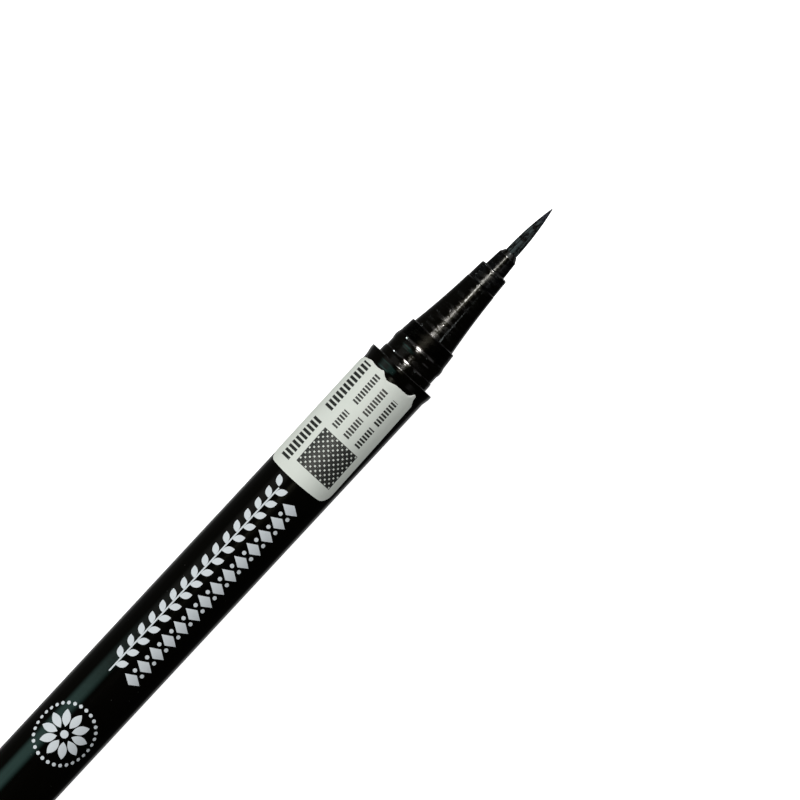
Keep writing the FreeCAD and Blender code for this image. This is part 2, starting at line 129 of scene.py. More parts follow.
def count(label, number, what):
    """A whole number that a user may change."""
    return IntProperty(name=label, description=what, default=number, min=1)


class PenSizes(bpy.types.PropertyGroup):
    """Sizes of the pen's turned pieces, which follow its solids but for finer edges."""

    press_gap: length("Press fit", 0.02, "Gap between pressed pieces")
    slide_gap: length("Sliding fit", 0.06, "Gap between sliding pieces")
    snap_gap: length("Snap fit", 0.03, "Gap between the cap's snap ring and the bead")
    face_gap: length("Face gap", 0.05, "Gap between faces that meet end to end")
    barrel_diameter: length("Barrel diameter", 10.4, "Outside of the plain barrel")
    barrel_length: length("Barrel length", 84.0, "From the mouth to the tail")
    barrel_wall: length("Barrel wall", 0.95, "Thickness of the barrel")
    lip_height: length("Lip height", 0.2, "How far the lip at the mouth stands proud")
    lip_length: length("Lip length", 0.6, "Straight part of the lip")
    lip_taper: length("Lip taper", 1.0, "Sloping part of the lip")
    rim_round: length("Rim round", 0.12, "Fillet on outer rims")
    seat_length: length("Seat length", 1.25, "Cap seat in front of the mouth")
    neck_depth: length("Neck depth", 0.17, "Step from the seat down to the neck")
    neck_length: length("Neck length", 1.2, "Neck between seat and bead")
    bead_height: length("Bead height", 0.1, "How far the snap bead stands proud of the neck")
    bead_length: length("Bead length", 1.5, "Snap bead along the axis")
    flange_drop: length("Flange drop", 0.08, "Step from the neck's radius to the flange")
    flange_taper: length("Flange taper", 0.22, "Fall of the flange's radius")
    flange_length: length("Flange length", 2.3, "Flange along the axis")
    cone_step: length("Cone step", 0.32, "Step from the flange down to the cone")
    cone_length: length("Cone length", 9.6, "Cone along the axis")
    cone_flare: length("Cone flare", 0.1, "Hollow of the cone's side")
    section_wall: length("Section wall", 0.9, "Wall of the section's skirt")
    skirt_length: length("Skirt length", 17.0, "Part of the section in the barrel")
    nozzle_wall: length("Nozzle wall", 0.5, "Wall of the nozzle at its front")
    nozzle_taper: length("Nozzle taper", 0.2, "Fall of the nozzle's radius")
    nozzle_length: length("Nozzle length", 3.3, "Nozzle along the axis")
    nozzle_bevel: length("Nozzle bevel", 0.75, "Bevel on the nozzle's front, along the axis")
    nozzle_lip: length("Nozzle lip", 0.06, "Flat rim left in front of that bevel")
    collar_step: length("Collar step", 0.56, "Step from the nozzle up to the collar")
    collar_taper: length("Collar taper", 0.16, "Fall of the collar's radius")
    collar_length: length("Collar length", 2.75, "Collar along the axis")
    collar_round: length("Collar round", 0.3, "Fillet on the collar's front")
    cone_front_step: length("Cone front step", 0.06, "Step from the collar up to the cone")
    seam_chamfer: length("Seam chamfer", 0.07, "Chamfer on both sides of the collar's seam")
    spigot_wall: length("Spigot wall", 0.45, "Wall of the holder inside the cone")
    spigot_length: length("Spigot length", 5.0, "Part of the holder in the cone")
    chamber_step: length("Chamber step", 0.5, "Step from the socket out to the chamber")
    tuft_diameter: length("Brush diameter", 1.76, "Brush where it leaves the nozzle")
    tuft_exposed: length("Brush length", 8.3, "Part of the brush in front of the nozzle")
    tuft_point: length("Brush point", 0.1, "Diameter of the brush at its point")
    tuft_gap: length("Brush gap", 0.04, "Gap between brush and nozzle")
    butt_rim: length("Butt rim", 0.3, "How far the brush's fused butt stands proud")
    butt_length: length("Butt length", 0.8, "Fused butt along the axis")
    retainer_length: length("Retainer length", 1.2, "Ring behind the brush's butt")
    collector_reach: length("Collector reach", 2.4, "Shoulder in the section in front of the mouth")
    plug_length: length("Plug length", 7.0, "Part of the tail plug in the barrel")
    plug_wall: length("Plug wall", 1.2, "Wall of the tail plug")
    tail_flange: length("Tail flange", 1.0, "Flange of the tail plug behind the barrel")
    post_short: length("Post shortening", 0.9, "How much shorter the tail post is than the front flange")
    post_taper: length("Post taper", 0.2, "Fall of the tail post's radius")
    snap_length: length("Snap ring length", 0.7, "Snap ring in the cap")
    ridge_clear: length("Ridge gap", 0.1, "Gap between the tail post and the cap's ridge")
    ridge_length: length("Ridge length", 0.5, "Ridge that holds the liner in the cap")
    cap_end_wall: length("Cap end wall", 1.5, "End wall of the cap")
    cap_end_round: length("Cap end round", 0.7, "Fillet on the cap's end")
    liner_rim_length: length("Liner rim length", 1.2, "Rim at the liner's mouth")
    liner_rim_height: length("Liner rim height", 0.1, "How far the liner's rim stands proud")
    liner_wall: length("Liner wall", 0.5, "Wall of the cap's liner")
    liner_end_wall: length("Liner end wall", 0.8, "End wall of the liner")
    tip_room: length("Tip room", 1.2, "Room in the liner in front of the brush")
    nose_room: length("Nose room", 0.6, "Room in the liner round the brush")
    spring_length: length("Spring length", 5.5, "Room for the spring at rest")
    wire_diameter: length("Wire diameter", 0.4, "Wire of the liner's spring")
    coil_gap: length("Coil gap", 0.1, "Gap between spring and boss")
    boss_diameter: length("Boss diameter", 3.0, "Bosses inside the spring")
    boss_length: length("Boss length", 1.0, "Height of the spring's bosses")
    edge_round: length("Edge round", 0.05, "Small round on moulded edges")


class SealSizes(bpy.types.PropertyGroup):
    """Sizes of the two halves of the cut paper seal."""

    lift: length("Lift", 0.02, "Adhesive between paper and pen")
    thickness: length("Thickness", 0.14, "Paper of the seal")
    margin: length("Margin", 0.1, "Gap between the barrel's lip and the seal")
    length: length("Length", 19.4, "Barrel half along the axis")
    cap_length: length("Cap length", 17.0, "Cap half along the axis")
    cap_margin: length("Cap margin", 0.4, "Gap between the cap's mouth and the seal")
    width: length("Width", 12.7, "Paper round the pen")
    turn: angle("Turn", 12.0, "How far the seal's middle is turned from straight up")
    skew: angle("Skew", 3.6, "Change of that turn from the middle to either end")
    corner: length("Corner", 1.7, "Round of the uncut corners")
    bulge: length("Bulge", 0.4, "How far the middle of the uncut edge stands out")
    flap_reach: length("Flap reach", 0.95, "How far the peeled flap reaches over the lip")
    flap_rise: length("Flap rise", 0.3, "How far the peeled flap stands off")


class PrintSizes(bpy.types.PropertyGroup):
    """Sizes of the ornament printed on the barrel."""

    thickness: length("Thickness", 0.015, "Height of the print above the barrel")
    start: length("Start", 23.2, "Where the rows start behind the mouth")
    run: length("Length", 34.0, "Rows along the axis")
    vine_turn: angle("Vine turn", 16.0, "Turn of the vine row from straight up")
    leaf_length: length("Leaf length", 1.75, "One leaf of the vine")
    leaf_width: length("Leaf width", 0.95, "One leaf of the vine, across")
    leaf_lean: angle("Leaf lean", 42.0, "Lean of the leaves from the stem")
    leaves: count("Leaves", 32, "Leaves along the vine")
    stem_width: length("Stem width", 0.22, "Stem of the vine")
    chain_turn: angle("Chain turn", -20.0, "Turn of the lozenge row from straight up")
    lozenges: count("Lozenges", 14, "Lozenges along their row")
    lozenge_height: length("Lozenge height", 2.8, "One lozenge round the barrel")
    lozenge_width: length("Lozenge width", 1.7, "One lozenge along the axis")
    dot_radius: length("Dot radius", 0.3, "Dots between the lozenges")
    rosette_place: length("Rosette place", 67.7, "Middle of the rosette behind the mouth")
    rosette_radius: length("Rosette radius", 4.4, "Ring of beads round the rosette")
    bead_radius: length("Bead radius", 0.27, "One bead of that ring")
    beads: count("Beads", 30, "Beads round the rosette")
    petals: count("Petals", 10, "Petals of the rosette")


class BrushMake(bpy.types.PropertyGroup):
    """How the brush is bundled."""

    filaments: count("Filaments", 46, "Filaments in the outer layer")
    filament_radius: length("Filament radius", 0.062, "One filament at the nozzle")
    fluff: length("Fluff", 0.03, "How far the outer filaments stand off the brush's solid")
    sway: length("Sway", 0.035, "How far filaments stray")
    seed: count("Seed", 7, "Seed of the strays")


class PenColours(bpy.types.PropertyGroup):
    """Linear colours of the pen's finishes."""

    barrel: colour("Barrel", (0.0011, 0.0010, 0.0005), "Gloss black of barrel and cap")
    section: colour("Section", (0.0016, 0.0014, 0.0008), "Gloss black of nose and tail post")
    dust: colour("Dust", (0.35, 0.35, 0.33), "Dust specks on barrel and cap")
    ink: colour("Ink", (0.0015, 0.0016, 0.002), "Dried ink")
    filament: colour("Filament", (0.052, 0.073, 0.076), "Filament where the ink is thin")
    point: colour("Brush point", (0.006, 0.008, 0.02), "Filament at the brush's point")
    paper: colour("Paper", (0.75, 0.795, 0.735), "Seal paper")
    paper_cloud: colour("Paper cloud", (0.66, 0.70, 0.65), "Duller clouds in the seal paper")
    paper_core: colour("Paper core", (0.82, 0.84, 0.8), "Torn edge of the paper")
    seal_print: colour("Seal print", (0.009, 0.011, 0.009), "Dark print on the seal")
    barrel_print: colour("Barrel print", (0.70, 0.75, 0.78), "Pale print on the barrel")
    print_bloom: colour("Print bloom", (0.55, 0.61, 0.66), "Worn bloom on that print")
    liner: colour("Liner", (0.70, 0.71, 0.67), "Natural moulding of liner and feed")
    liner_flow: colour("Liner flow", (0.58, 0.60, 0.57), "Flow marks in that moulding")
    stain: colour("Stain", (0.08, 0.085, 0.1), "Trace of ink on that moulding")
    steel: colour("Steel", (0.60, 0.60, 0.59), "Ball and spring")
    steel_smear: colour("Steel smear", (0.42, 0.43, 0.44), "Smears on that steel")
    feed: colour("Feed fibre", (0.10, 0.10, 0.11), "Fibre rod, stained with ink")
    floor: colour("Floor", (0.9, 0.9, 0.9), "Floor under the pen")


def stations():
    """Places along the axis from the barrel's mouth (in _x) and radii (in _r), from the sizes."""
    sizes = bpy.context.scene.pen_sizes
    at = SimpleNamespace()
    at.barrel_r = sizes.barrel_diameter / 2
    at.bore_r = at.barrel_r - sizes.barrel_wall
    at.lip_r = at.barrel_r + sizes.lip_height
    at.seat_r = at.bore_r - sizes.press_gap
    at.neck_r = at.seat_r - sizes.neck_depth
    at.bead_r = at.neck_r + sizes.bead_height
    at.flange_rear_r = at.neck_r - sizes.flange_drop
    at.bead_bow = sizes.bead_height + sizes.flange_drop / 2
    at.tuft_r = sizes.tuft_diameter / 2
    at.tuft_point_r = sizes.tuft_point / 2
    at.tuft_bow = (at.tuft_r - at.tuft_point_r) / 4
    at.holder_bore_r = at.tuft_r + sizes.tuft_gap
    at.nozzle_front_r = at.holder_bore_r + sizes.nozzle_wall
    at.nozzle_rear_r = at.nozzle_front_r + sizes.nozzle_taper
    at.nozzle_lip_r = at.holder_bore_r + sizes.nozzle_lip
    at.collar_front_r = at.nozzle_rear_r + sizes.collar_step
    at.collar_rear_r = at.collar_front_r + sizes.collar_taper
    at.butt_seat_r = at.tuft_r + sizes.butt_rim + sizes.press_gap
    at.spigot_r = at.butt_seat_r + sizes.spigot_wall
    at.flange_front_r = at.flange_rear_r - sizes.flange_taper
    at.cone_base_r = at.flange_front_r - sizes.cone_step
    at.cone_front_r = at.collar_rear_r + sizes.cone_front_step
    at.socket_r = at.spigot_r + sizes.press_gap
    at.chamber_r = at.socket_r + sizes.chamber_step
    at.section_bore_r = at.seat_r - sizes.section_wall
    at.seat_x = sizes.seat_length
    at.neck_x = at.seat_x + sizes.neck_length
    at.bead_x = at.neck_x + sizes.bead_length
    at.flange_x = at.bead_x + sizes.flange_length
    at.cone_front_x = at.flange_x + sizes.cone_length
    at.collar_front_x = at.cone_front_x + sizes.collar_length
    at.nozzle_front_x = at.collar_front_x + sizes.nozzle_length
    at.bevel_x = at.nozzle_front_x - sizes.nozzle_bevel
    at.brush_tip_x = at.nozzle_front_x + sizes.tuft_exposed
    at.spigot_x = at.cone_front_x - sizes.spigot_length
    at.socket_x = at.spigot_x - sizes.face_gap
    at.butt_x = at.spigot_x + sizes.retainer_length
    at.butt_front_x = at.butt_x + sizes.butt_length
    at.skirt_x = -sizes.skirt_length
    at.lip_x = -sizes.lip_length
    at.lip_end_x = at.lip_x - sizes.lip_taper
    at.tail_x = -sizes.barrel_length
    at.plug_front_x = at.tail_x + sizes.plug_length
    at.plug_bore_r = at.seat_r - sizes.plug_wall
    at.tail_face_x = at.tail_x - sizes.tail_flange
    at.post_seat_x = at.tail_face_x - sizes.seat_length
    at.post_neck_x = at.post_seat_x - sizes.neck_length
    at.post_bead_x = at.post_neck_x - sizes.bead_length
    at.post_end_x = at.post_bead_x - sizes.flange_length + sizes.post_short
    at.post_end_r = at.flange_rear_r - sizes.post_taper
    at.cap_bore_r = max(at.seat_r, at.bead_r) + sizes.slide_gap
    at.snap_bow = at.cap_bore_r - at.bead_r - sizes.snap_gap
    at.ridge_bow = at.cap_bore_r - at.neck_r - sizes.slide_gap
    at.cap_mouth_x = at.tail_face_x - sizes.face_gap
    at.snap_x = at.cap_mouth_x - sizes.seat_length - (sizes.neck_length - sizes.snap_length) / 2
    at.snap_rear_x = at.snap_x - sizes.snap_length
    at.ridge_x = at.post_end_x - sizes.ridge_clear
    at.ridge_rear_x = at.ridge_x - sizes.ridge_length
    at.liner_mouth_x = at.ridge_rear_x - sizes.face_gap
    at.liner_rim_x = at.liner_mouth_x - sizes.liner_rim_length
    at.liner_floor_x = at.cap_mouth_x - at.brush_tip_x - sizes.tip_room
    at.liner_end_x = at.liner_floor_x - sizes.liner_end_wall
    at.liner_boss_x = at.liner_end_x - sizes.boss_length
    at.cap_floor_x = at.liner_end_x - sizes.spring_length
    at.cap_boss_x = at.cap_floor_x + sizes.boss_length
    at.cap_end_x = at.cap_floor_x - sizes.cap_end_wall
    at.liner_rim_r = at.cap_bore_r - sizes.slide_gap
    at.liner_tube_r = at.liner_rim_r - sizes.liner_rim_height
    at.liner_bore_r = at.liner_tube_r - sizes.liner_wall
    at.liner_bore_end_r = at.tuft_r + sizes.nose_room
    at.liner_tube_end_r = at.liner_bore_end_r + sizes.liner_wall
    at.boss_r = sizes.boss_diameter / 2
    at.coil_r = at.boss_r + sizes.coil_gap + sizes.wire_diameter / 2
    return at


class Wire:
    """One socket of a node tree, usable in Python expressions on values."""

    def __init__(self, tree, socket):
        self.tree = tree
        self.socket = socket

    def other(self, output):
        """Another output of the same node."""
        return Wire(self.tree, self.socket.node.outputs[output])

    def math(self, operation, *others):
        """This value, with others where the operation takes more, through a math node."""
        return self.tree.math(operation, self, *others)

    def __neg__(self):
        return self.math("MULTIPLY", -1.0)

    def __add__(self, value):
        return self.math("ADD", value)

    __radd__ = __add__

    def __sub__(self, value):
        return self.math("SUBTRACT", value)

    def __rsub__(self, value):
        return self.tree.math("SUBTRACT", value, self)

    def __mul__(self, value):
        return self.math("MULTIPLY", value)

    __rmul__ = __mul__

    def __truediv__(self, value):
        return self.math("DIVIDE", value)

    def __mod__(self, value):
        return self.math("FLOORED_MODULO", value)

    def __gt__(self, value):
        return self.math("GREATER_THAN", value)

    def __lt__(self, value):
        return self.math("LESS_THAN", value)


class Tree:
    """A node tree that is filled one node at a time."""

    def __init__(self, tree):
        self.tree = tree

    def add(self, kind, values=(), output=0, **settings):
        """One output of a new node, whose sockets get values, wires or lists of wires."""
        node = self.tree.nodes.new(kind)
        for name, setting in settings.items():
            setattr(node, name, setting)
        pairs = values.items() if isinstance(values, dict) else enumerate(values)
        for key, value in pairs:
            for part in value if isinstance(value, list) else [value]:
                if isinstance(part, Wire):
                    self.tree.links.new(part.socket, node.inputs[key])
                else:
                    node.inputs[key].default_value = part
        return Wire(self, node.outputs[output]) if node.outputs else None

    def math(self, operation, *values):
        return self.add("ShaderNodeMath", values, operation=operation)

    def split(self, vector):
        x = self.add("ShaderNodeSeparateXYZ", [vector])
        return x, x.other("Y"), x.other("Z")

    def join(self, x, y, z):
        return self.add("ShaderNodeCombineXYZ", [x, y, z])

    def fade(self, value, low, high):
        """0 up to low and 1 from high, or the other way round where low is the greater."""
        return self.add("ShaderNodeMapRange", [value, low, high], interpolation_type="SMOOTHSTEP")

    def noise(self, vector, scale, detail, output=0):
        return self.add("ShaderNodeTexNoise", {"Vector": vector, "Scale": scale, "Detail": detail}, output)

    def spots(self, vector, scale):
        """How far the surface is from scattered spots."""
        return self.add("ShaderNodeTexVoronoi", {"Vector": vector, "Scale": scale})

    def stretch(self, vector, scale):
        return self.add("ShaderNodeVectorMath", [vector, scale], operation="MULTIPLY")

    def tint(self, factor, first, second):
        """A colour between two others, each a wire or three numbers."""
        first, second = [end if isinstance(end, Wire) else opaque(end) for end in (first, second)]
        return self.add("ShaderNodeMix", {0: factor, 6: first, 7: second}, output=2, data_type="RGBA")

    def bump(self, height, distance):
        """A normal from a height of 0 to 1 that stands for so many metres."""
        return self.add("ShaderNodeBump", {"Distance": distance, "Height": height})

    def millimetres(self):
        """The surface's place on its piece, in millimetres."""
        place = self.add("ShaderNodeTexCoord", output="Object")
        return self.add("ShaderNodeVectorMath", {0: place, "Scale": PER_MM}, operation="SCALE")


def opaque(rgb):
    return (*rgb, 1.0)


def new_finish(name):
    """An empty material and the tree to fill."""
    material = bpy.data.materials.new(name)
    material.use_nodes = True
    material.node_tree.nodes.clear()
    return material, Tree(material.node_tree)


def close_finish(tree, **sockets):
    """The finish's shader; a socket's name is given with _ for each space."""
    values = {name.replace("_", " "): value for name, value in sockets.items()}
    shader = tree.add("ShaderNodeBsdfPrincipled", values)
    tree.add("ShaderNodeOutputMaterial", [shader])


FINISHES = {}


def listed(fill):
    """List a function that fills a finish's tree, under the finish's name."""
    FINISHES[fill.__name__] = fill
    return fill


def finish(name):
    """A listed finish, made when it is first asked for."""
    material = bpy.data.materials.get(name)
    if material is None:
        material, tree = new_finish(name)
        FINISHES[name](tree, bpy.context.scene.pen_colours)
    return material


def in_millimetres(station):
    """A station's place along x, as the finishes measure it."""
    return (MOUTH_X + station) * PER_MM


@listed
def barrel_gloss(tree, colours):
    """Polished black moulding with handling smears, hairlines along the pen and a few dust specks."""
    place = tree.millimetres()
    smear = tree.noise(place, 0.22, 3.0)
    hairlines = tree.fade(tree.noise(tree.stretch(place, (0.05, 3.2, 3.2)), 1.6, 3.0), 0.62, 0.72)
    peel = tree.noise(place, 1.3, 1.0)
    dust = tree.spots(place, 0.55) < 0.045
    close_finish(
        tree,
        Base_Color=tree.tint(0.04 * dust, colours.barrel, colours.dust),
        Roughness=0.09 + 0.06 * (smear - 0.5) + 0.05 * hairlines + 0.3 * dust,
        Normal=tree.bump(peel + 0.15 * hairlines, 1.5e-6),
        IOR=PLASTIC_IOR,
    )


@listed
def section_gloss(tree, colours):
    """Glossy black moulding with faint turning rings, a rougher flange whose reflection is darkened as
    painted shade, and dried ink towards the brush.
    """
    at = stations()
    place = tree.millimetres()
    along = tree.split(place)[0]
    rings = tree.noise(tree.stretch(place, (1.0, 0.15, 0.15)), 1.1, 1.0)
    smear = tree.noise(place, 0.5, 3.0)
    pits = tree.noise(place, 1.9, 1.0)
    dashes = tree.fade(tree.noise(tree.stretch(place, (1.0, 0.3, 0.3)), 1.7, 1.0), 0.48, 0.6)
    seam = in_millimetres(at.cone_front_x)
    film = tree.fade(along, seam - 0.5, seam + 0.5) * tree.fade(tree.noise(place, 1.1, 4.0), 0.36, 0.56)
    grains = tree.noise(place, 4.5, 2.0)
    specks = tree.fade(tree.spots(place, 0.8), 0.16, 0.08)
    flange_rear = in_millimetres(at.bead_x)
    flange_front = in_millimetres(at.flange_x)
    # The flange band is rougher, and there a near-black metallic darkens its reflection: painted shade.
    flange_rough_and_painted_shade = tree.fade(along, flange_rear - 0.3, flange_rear)
    flange_rough_and_painted_shade = flange_rough_and_painted_shade * tree.fade(along, flange_front, flange_front - 0.15)
    relief = rings + smear + 0.5 * pits + (0.1 + 0.6 * film) * grains + 0.5 * specks
    close_finish(
        tree,
        Base_Color=tree.tint(film, colours.section, colours.ink),
        # Near-black metallic on the flange: painted shade that darkens its reflection.
        Metallic=0.95 * flange_rough_and_painted_shade,
        Roughness=0.07 + 0.03 * smear + 0.09 * film + 0.18 * flange_rough_and_painted_shade + 0.12 * dashes,
        Normal=tree.bump(relief, 2.2e-5),
        IOR=PLASTIC_IOR,
    )


@listed
def wet_filaments(tree, colours):
    """Dark filaments wet with ink, which lies in blots and thins to blue at the point."""
    strand = tree.add("ShaderNodeAttribute", output="Fac", attribute_name=STRAND)
    place = tree.millimetres()
    along = tree.split(place)[0]
    blots = tree.noise(tree.stretch(place, (0.9, 1.3, 1.3)), 1.0, 3.0)
    thin = tree.fade(blots, 0.45, 0.58) * (0.2 + 0.8 * strand)
    streaks = tree.noise(tree.stretch(place, (0.7, 9.0, 9.0)), 2.0, 2.0)
    tip = in_millimetres(stations().brush_tip_x)
    point = tree.fade(along, tip - 3.0, tip - 1.2)
    wet = tree.tint(thin, colours.ink, colours.filament)
    close_finish(
        tree,
        Base_Color=tree.tint(point, wet, colours.point),
        Roughness=0.22 + 0.25 * thin,
        Normal=tree.bump(streaks, 4e-6),
        IOR=FIBRE_IOR,
        Specular_IOR_Level=0.1,
    )


@listed
def pale_print(tree, colours):
    """Pale print on the barrel with pinholes and a worn bloom."""
    place = tree.millimetres()
    cloud = tree.noise(place, 0.8, 3.0)
    pinholes = tree.fade(tree.noise(place, 7.0, 2.0), 0.7, 0.78)
    base = tree.tint(0.35 * cloud, colours.barrel_print, colours.print_bloom)
    close_finish(
        tree,
        Base_Color=tree.tint(0.8 * pinholes, base, colours.barrel),
        Roughness=0.4 + 0.2 * cloud,
        Normal=tree.bump(cloud, 2e-6),
        IOR=FIBRE_IOR,
    )


@listed
def milky_moulding(tree, colours):
    """Natural milky plastic with flow marks and a trace of ink."""
    place = tree.millimetres()
    flow = tree.noise(tree.stretch(place, (0.3, 1.0, 1.0)), 0.7, 3.0)
    stain = tree.fade(tree.noise(place, 0.45, 4.0), 0.6, 0.72)
    base = tree.tint(0.5 * flow, colours.liner, colours.liner_flow)
    close_finish(
        tree,
        Base_Color=tree.tint(0.55 * stain, base, colours.stain),
        Roughness=0.34 + 0.2 * flow,
        Normal=tree.bump(flow, 4e-6),
        Subsurface_Weight=0.25,
        Subsurface_Radius=(0.001, 0.001, 0.0009),
        Subsurface_Scale=0.6,
        IOR=PLASTIC_IOR,
    )


@listed
def bright_steel(tree, colours):
    """Drawn and polished steel with fine lines."""
    place = tree.millimetres()
    lines = tree.noise(tree.stretch(place, (9.0, 1.5, 1.5)), 2.0, 3.0)
    smear = tree.noise(place, 0.9, 3.0)
    close_finish(
        tree,
        Base_Color=tree.tint(smear, colours.steel, colours.steel_smear),
        Metallic=1.0,
        Roughness=0.16 + 0.16 * lines,
        Normal=tree.bump(lines, 1e-6),
    )


@listed
def stained_fibre(tree, colours):
    """Bundled fibre rod, soaked with ink along its fibres."""
    place = tree.millimetres()
    fibres = tree.noise(tree.stretch(place, (0.25, 10.0, 10.0)), 1.8, 3.0)
    soak = tree.noise(tree.stretch(place, (0.3, 1.0, 1.0)), 0.8, 3.0)
    dry = tree.fade(fibres + 0.4 * soak, 0.5, 0.95)
    close_finish(
        tree,
        Base_Color=tree.tint(dry, colours.ink, colours.feed),
        Roughness=0.6 + 0.25 * fibres,
        Normal=tree.bump(fibres, 2e-5),
    )


def seal_print(along, across, rows, block):
    """Where the seal's dark print lies on the paper: rows of plain strokes and one plain checker."""
    ink = 0.0
    for middle, (height, pitch), runs in rows:
        level = (across - middle).math("ABSOLUTE") < height / 2
        for first, last in runs:
            stroke = ((along - first) / pitch) % 1.0 < STROKE_SHARE
            ink = ink + level * stroke * (along > first) * (along < last)
    if block:
        first, last, low, high, pitch = block
        inside = (along > first) * (along < last) * (across > low) * (across < high)
        cells = [(along - first) / pitch, (across - low) / pitch]
        checker = (cells[0].math("FLOOR") + cells[1].math("FLOOR")) % 2.0
        lines = [(cell % 1.0 - 0.5).math("ABSOLUTE") > CELL_REACH for cell in cells]
        ink = ink + inside * checker.math("MAXIMUM", lines[0].math("MAXIMUM", lines[1]))
    return ink


def seal_paper(name, paper_length, rows, block):
    """Matt seal paper with fine fibres, worn print and a pale torn edge."""
    colours = bpy.context.scene.pen_colours
    material, tree = new_finish(name)
    run, rise, _ = tree.split(tree.add("ShaderNodeUVMap", uv_map=SEAL_UV))
    along = run * (paper_length * PER_MM)
    across = rise * (bpy.context.scene.seal_sizes.width * PER_MM)
    sheet = tree.join(along, across, 0.0)
    fibres = tree.noise(tree.stretch(sheet, (1.0, 3.0, 1.0)), 5.0, 4.0)
    cloud = tree.noise(sheet, 0.35, 3.0)
    wear = tree.fade(tree.noise(sheet, 6.0, 3.0), 0.8, 0.62)
    bleed = 0.05 * fibres
    ink = seal_print(along + bleed, across + bleed, rows, block) * wear
    torn = tree.fade(run, 0.975, 0.995)
    stock = tree.tint(0.5 * cloud, colours.paper, colours.paper_cloud)
    stock = tree.tint(torn, stock, colours.paper_core)
    close_finish(
        tree,
        Base_Color=tree.tint(ink, stock, colours.seal_print),
        Roughness=0.62 + 0.16 * fibres - 0.18 * ink,
        Normal=tree.bump(fibres + torn, 6e-6),
        IOR=FIBRE_IOR,
    )
    return material


def add_piece(name, data):
    """A new object at the origin."""
    piece = bpy.data.objects.new(name, data)
    bpy.context.scene.collection.objects.link(piece)
    return piece


def settle(piece, body, slot=None, *nodes):
    """Let a piece ride on its body and hide the solids that it stands for; its material slot is not used."""
    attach(piece, body)
    if nodes:
        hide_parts(*nodes)


def bow(start, stop, height):
    """Points between two corners on a run that stands off their chord, on the left if positive."""
    start = Vector(start)
    stop = Vector(stop)
    along = stop - start
    left = Vector((-along.y, along.x)).normalized()
    points = []
    for step in range(1, BOW_STEPS):
        share = step / BOW_STEPS
        points.append(tuple(start + along * share + left * (height * 4 * share * (1 - share))))
    return points


def fillet(before, corner, after, radius):
    """Points of the arc that rounds one corner."""
    corner = Vector(corner)
    back = (Vector(before) - corner).normalized()
    ahead = (Vector(after) - corner).normalized()
    half = back.angle(ahead) / 2
    reach = radius / math.tan(half)
    middle = corner + (back + ahead).normalized() * (radius / math.sin(half))
    first = corner + back * reach - middle
    last = corner + ahead * reach - middle
    sweep = first.angle(last)
    points = []
    for step in range(FILLET_STEPS + 1):
        share = step / FILLET_STEPS
        spoke = first * math.sin((1 - share) * sweep) + last * math.sin(share * sweep)
        points.append(tuple(middle + spoke / math.sin(sweep)))
    return points


def outline(corners, closed):
    """Points of an outline through corners (x, r[, fillet]), with rings that hold the shading."""
    rounded = []
    for index, corner in enumerate(corners):
        before = corners[index - 1][:2]
        after = corners[(index + 1) % len(corners)][:2]
        rounded += fillet(before, corner[:2], after, corner[2]) if len(corner) == 3 else [corner]
    points = []
    ends = rounded[1:] + (rounded[:1] if closed else [])
    for start, stop in zip(rounded, ends):
        run = Vector(stop) - Vector(start)
        # Where two fillets meet, the second one's first point is enough.
        if run.length < WELD:
            continue
        points.append(start)
        start = Vector(start)
        if run.length > LEAST_HELD_RUN:
            step = run.normalized() * HOLD
            points += [tuple(start + step), tuple(start + run - step)]
    if not closed:
        points.append(rounded[-1])
    return points


def moulded(name, shape, material):
    """A smooth piece with sharp creases from a finished shape, which is used up."""
    bmesh.ops.recalc_face_normals(shape, faces=shape.faces)
    for face in shape.faces:
        face.smooth = True
    mesh = bpy.data.meshes.new(name)
    shape.to_mesh(mesh)
    shape.free()
    mesh.set_sharp_from_angle(angle=CREASE_ANGLE)
    mesh.materials.append(material)
    return add_piece(name, mesh)


def turned(name, corners, material, closed=True):
    """A piece turned about the pen's axis; an open outline starts and ends on the axis."""
    shape = bmesh.new()
    rings = []
    turns = [2 * math.pi * step / AROUND for step in range(AROUND)]
    for x, r in outline(corners, closed):
        spots = [(0.0, 0.0)] if r < TINY else [(r * math.sin(turn), r * math.cos(turn)) for turn in turns]
        rings.append([shape.verts.new((MOUTH_X + x, y, AXIS_Z + z)) for y, z in spots])
    for first, second in zip(rings, rings[1:] + (rings[:1] if closed else [])):
        for index in range(AROUND):
            following = (index + 1) % AROUND
            loop = [first[index % len(first)], second[index % len(second)]]
            if len(second) > 1:
                loop.append(second[following])
            if len(first) > 1:
                loop.append(first[following])
            shape.faces.new(loop)
    return moulded(name, shape, material)


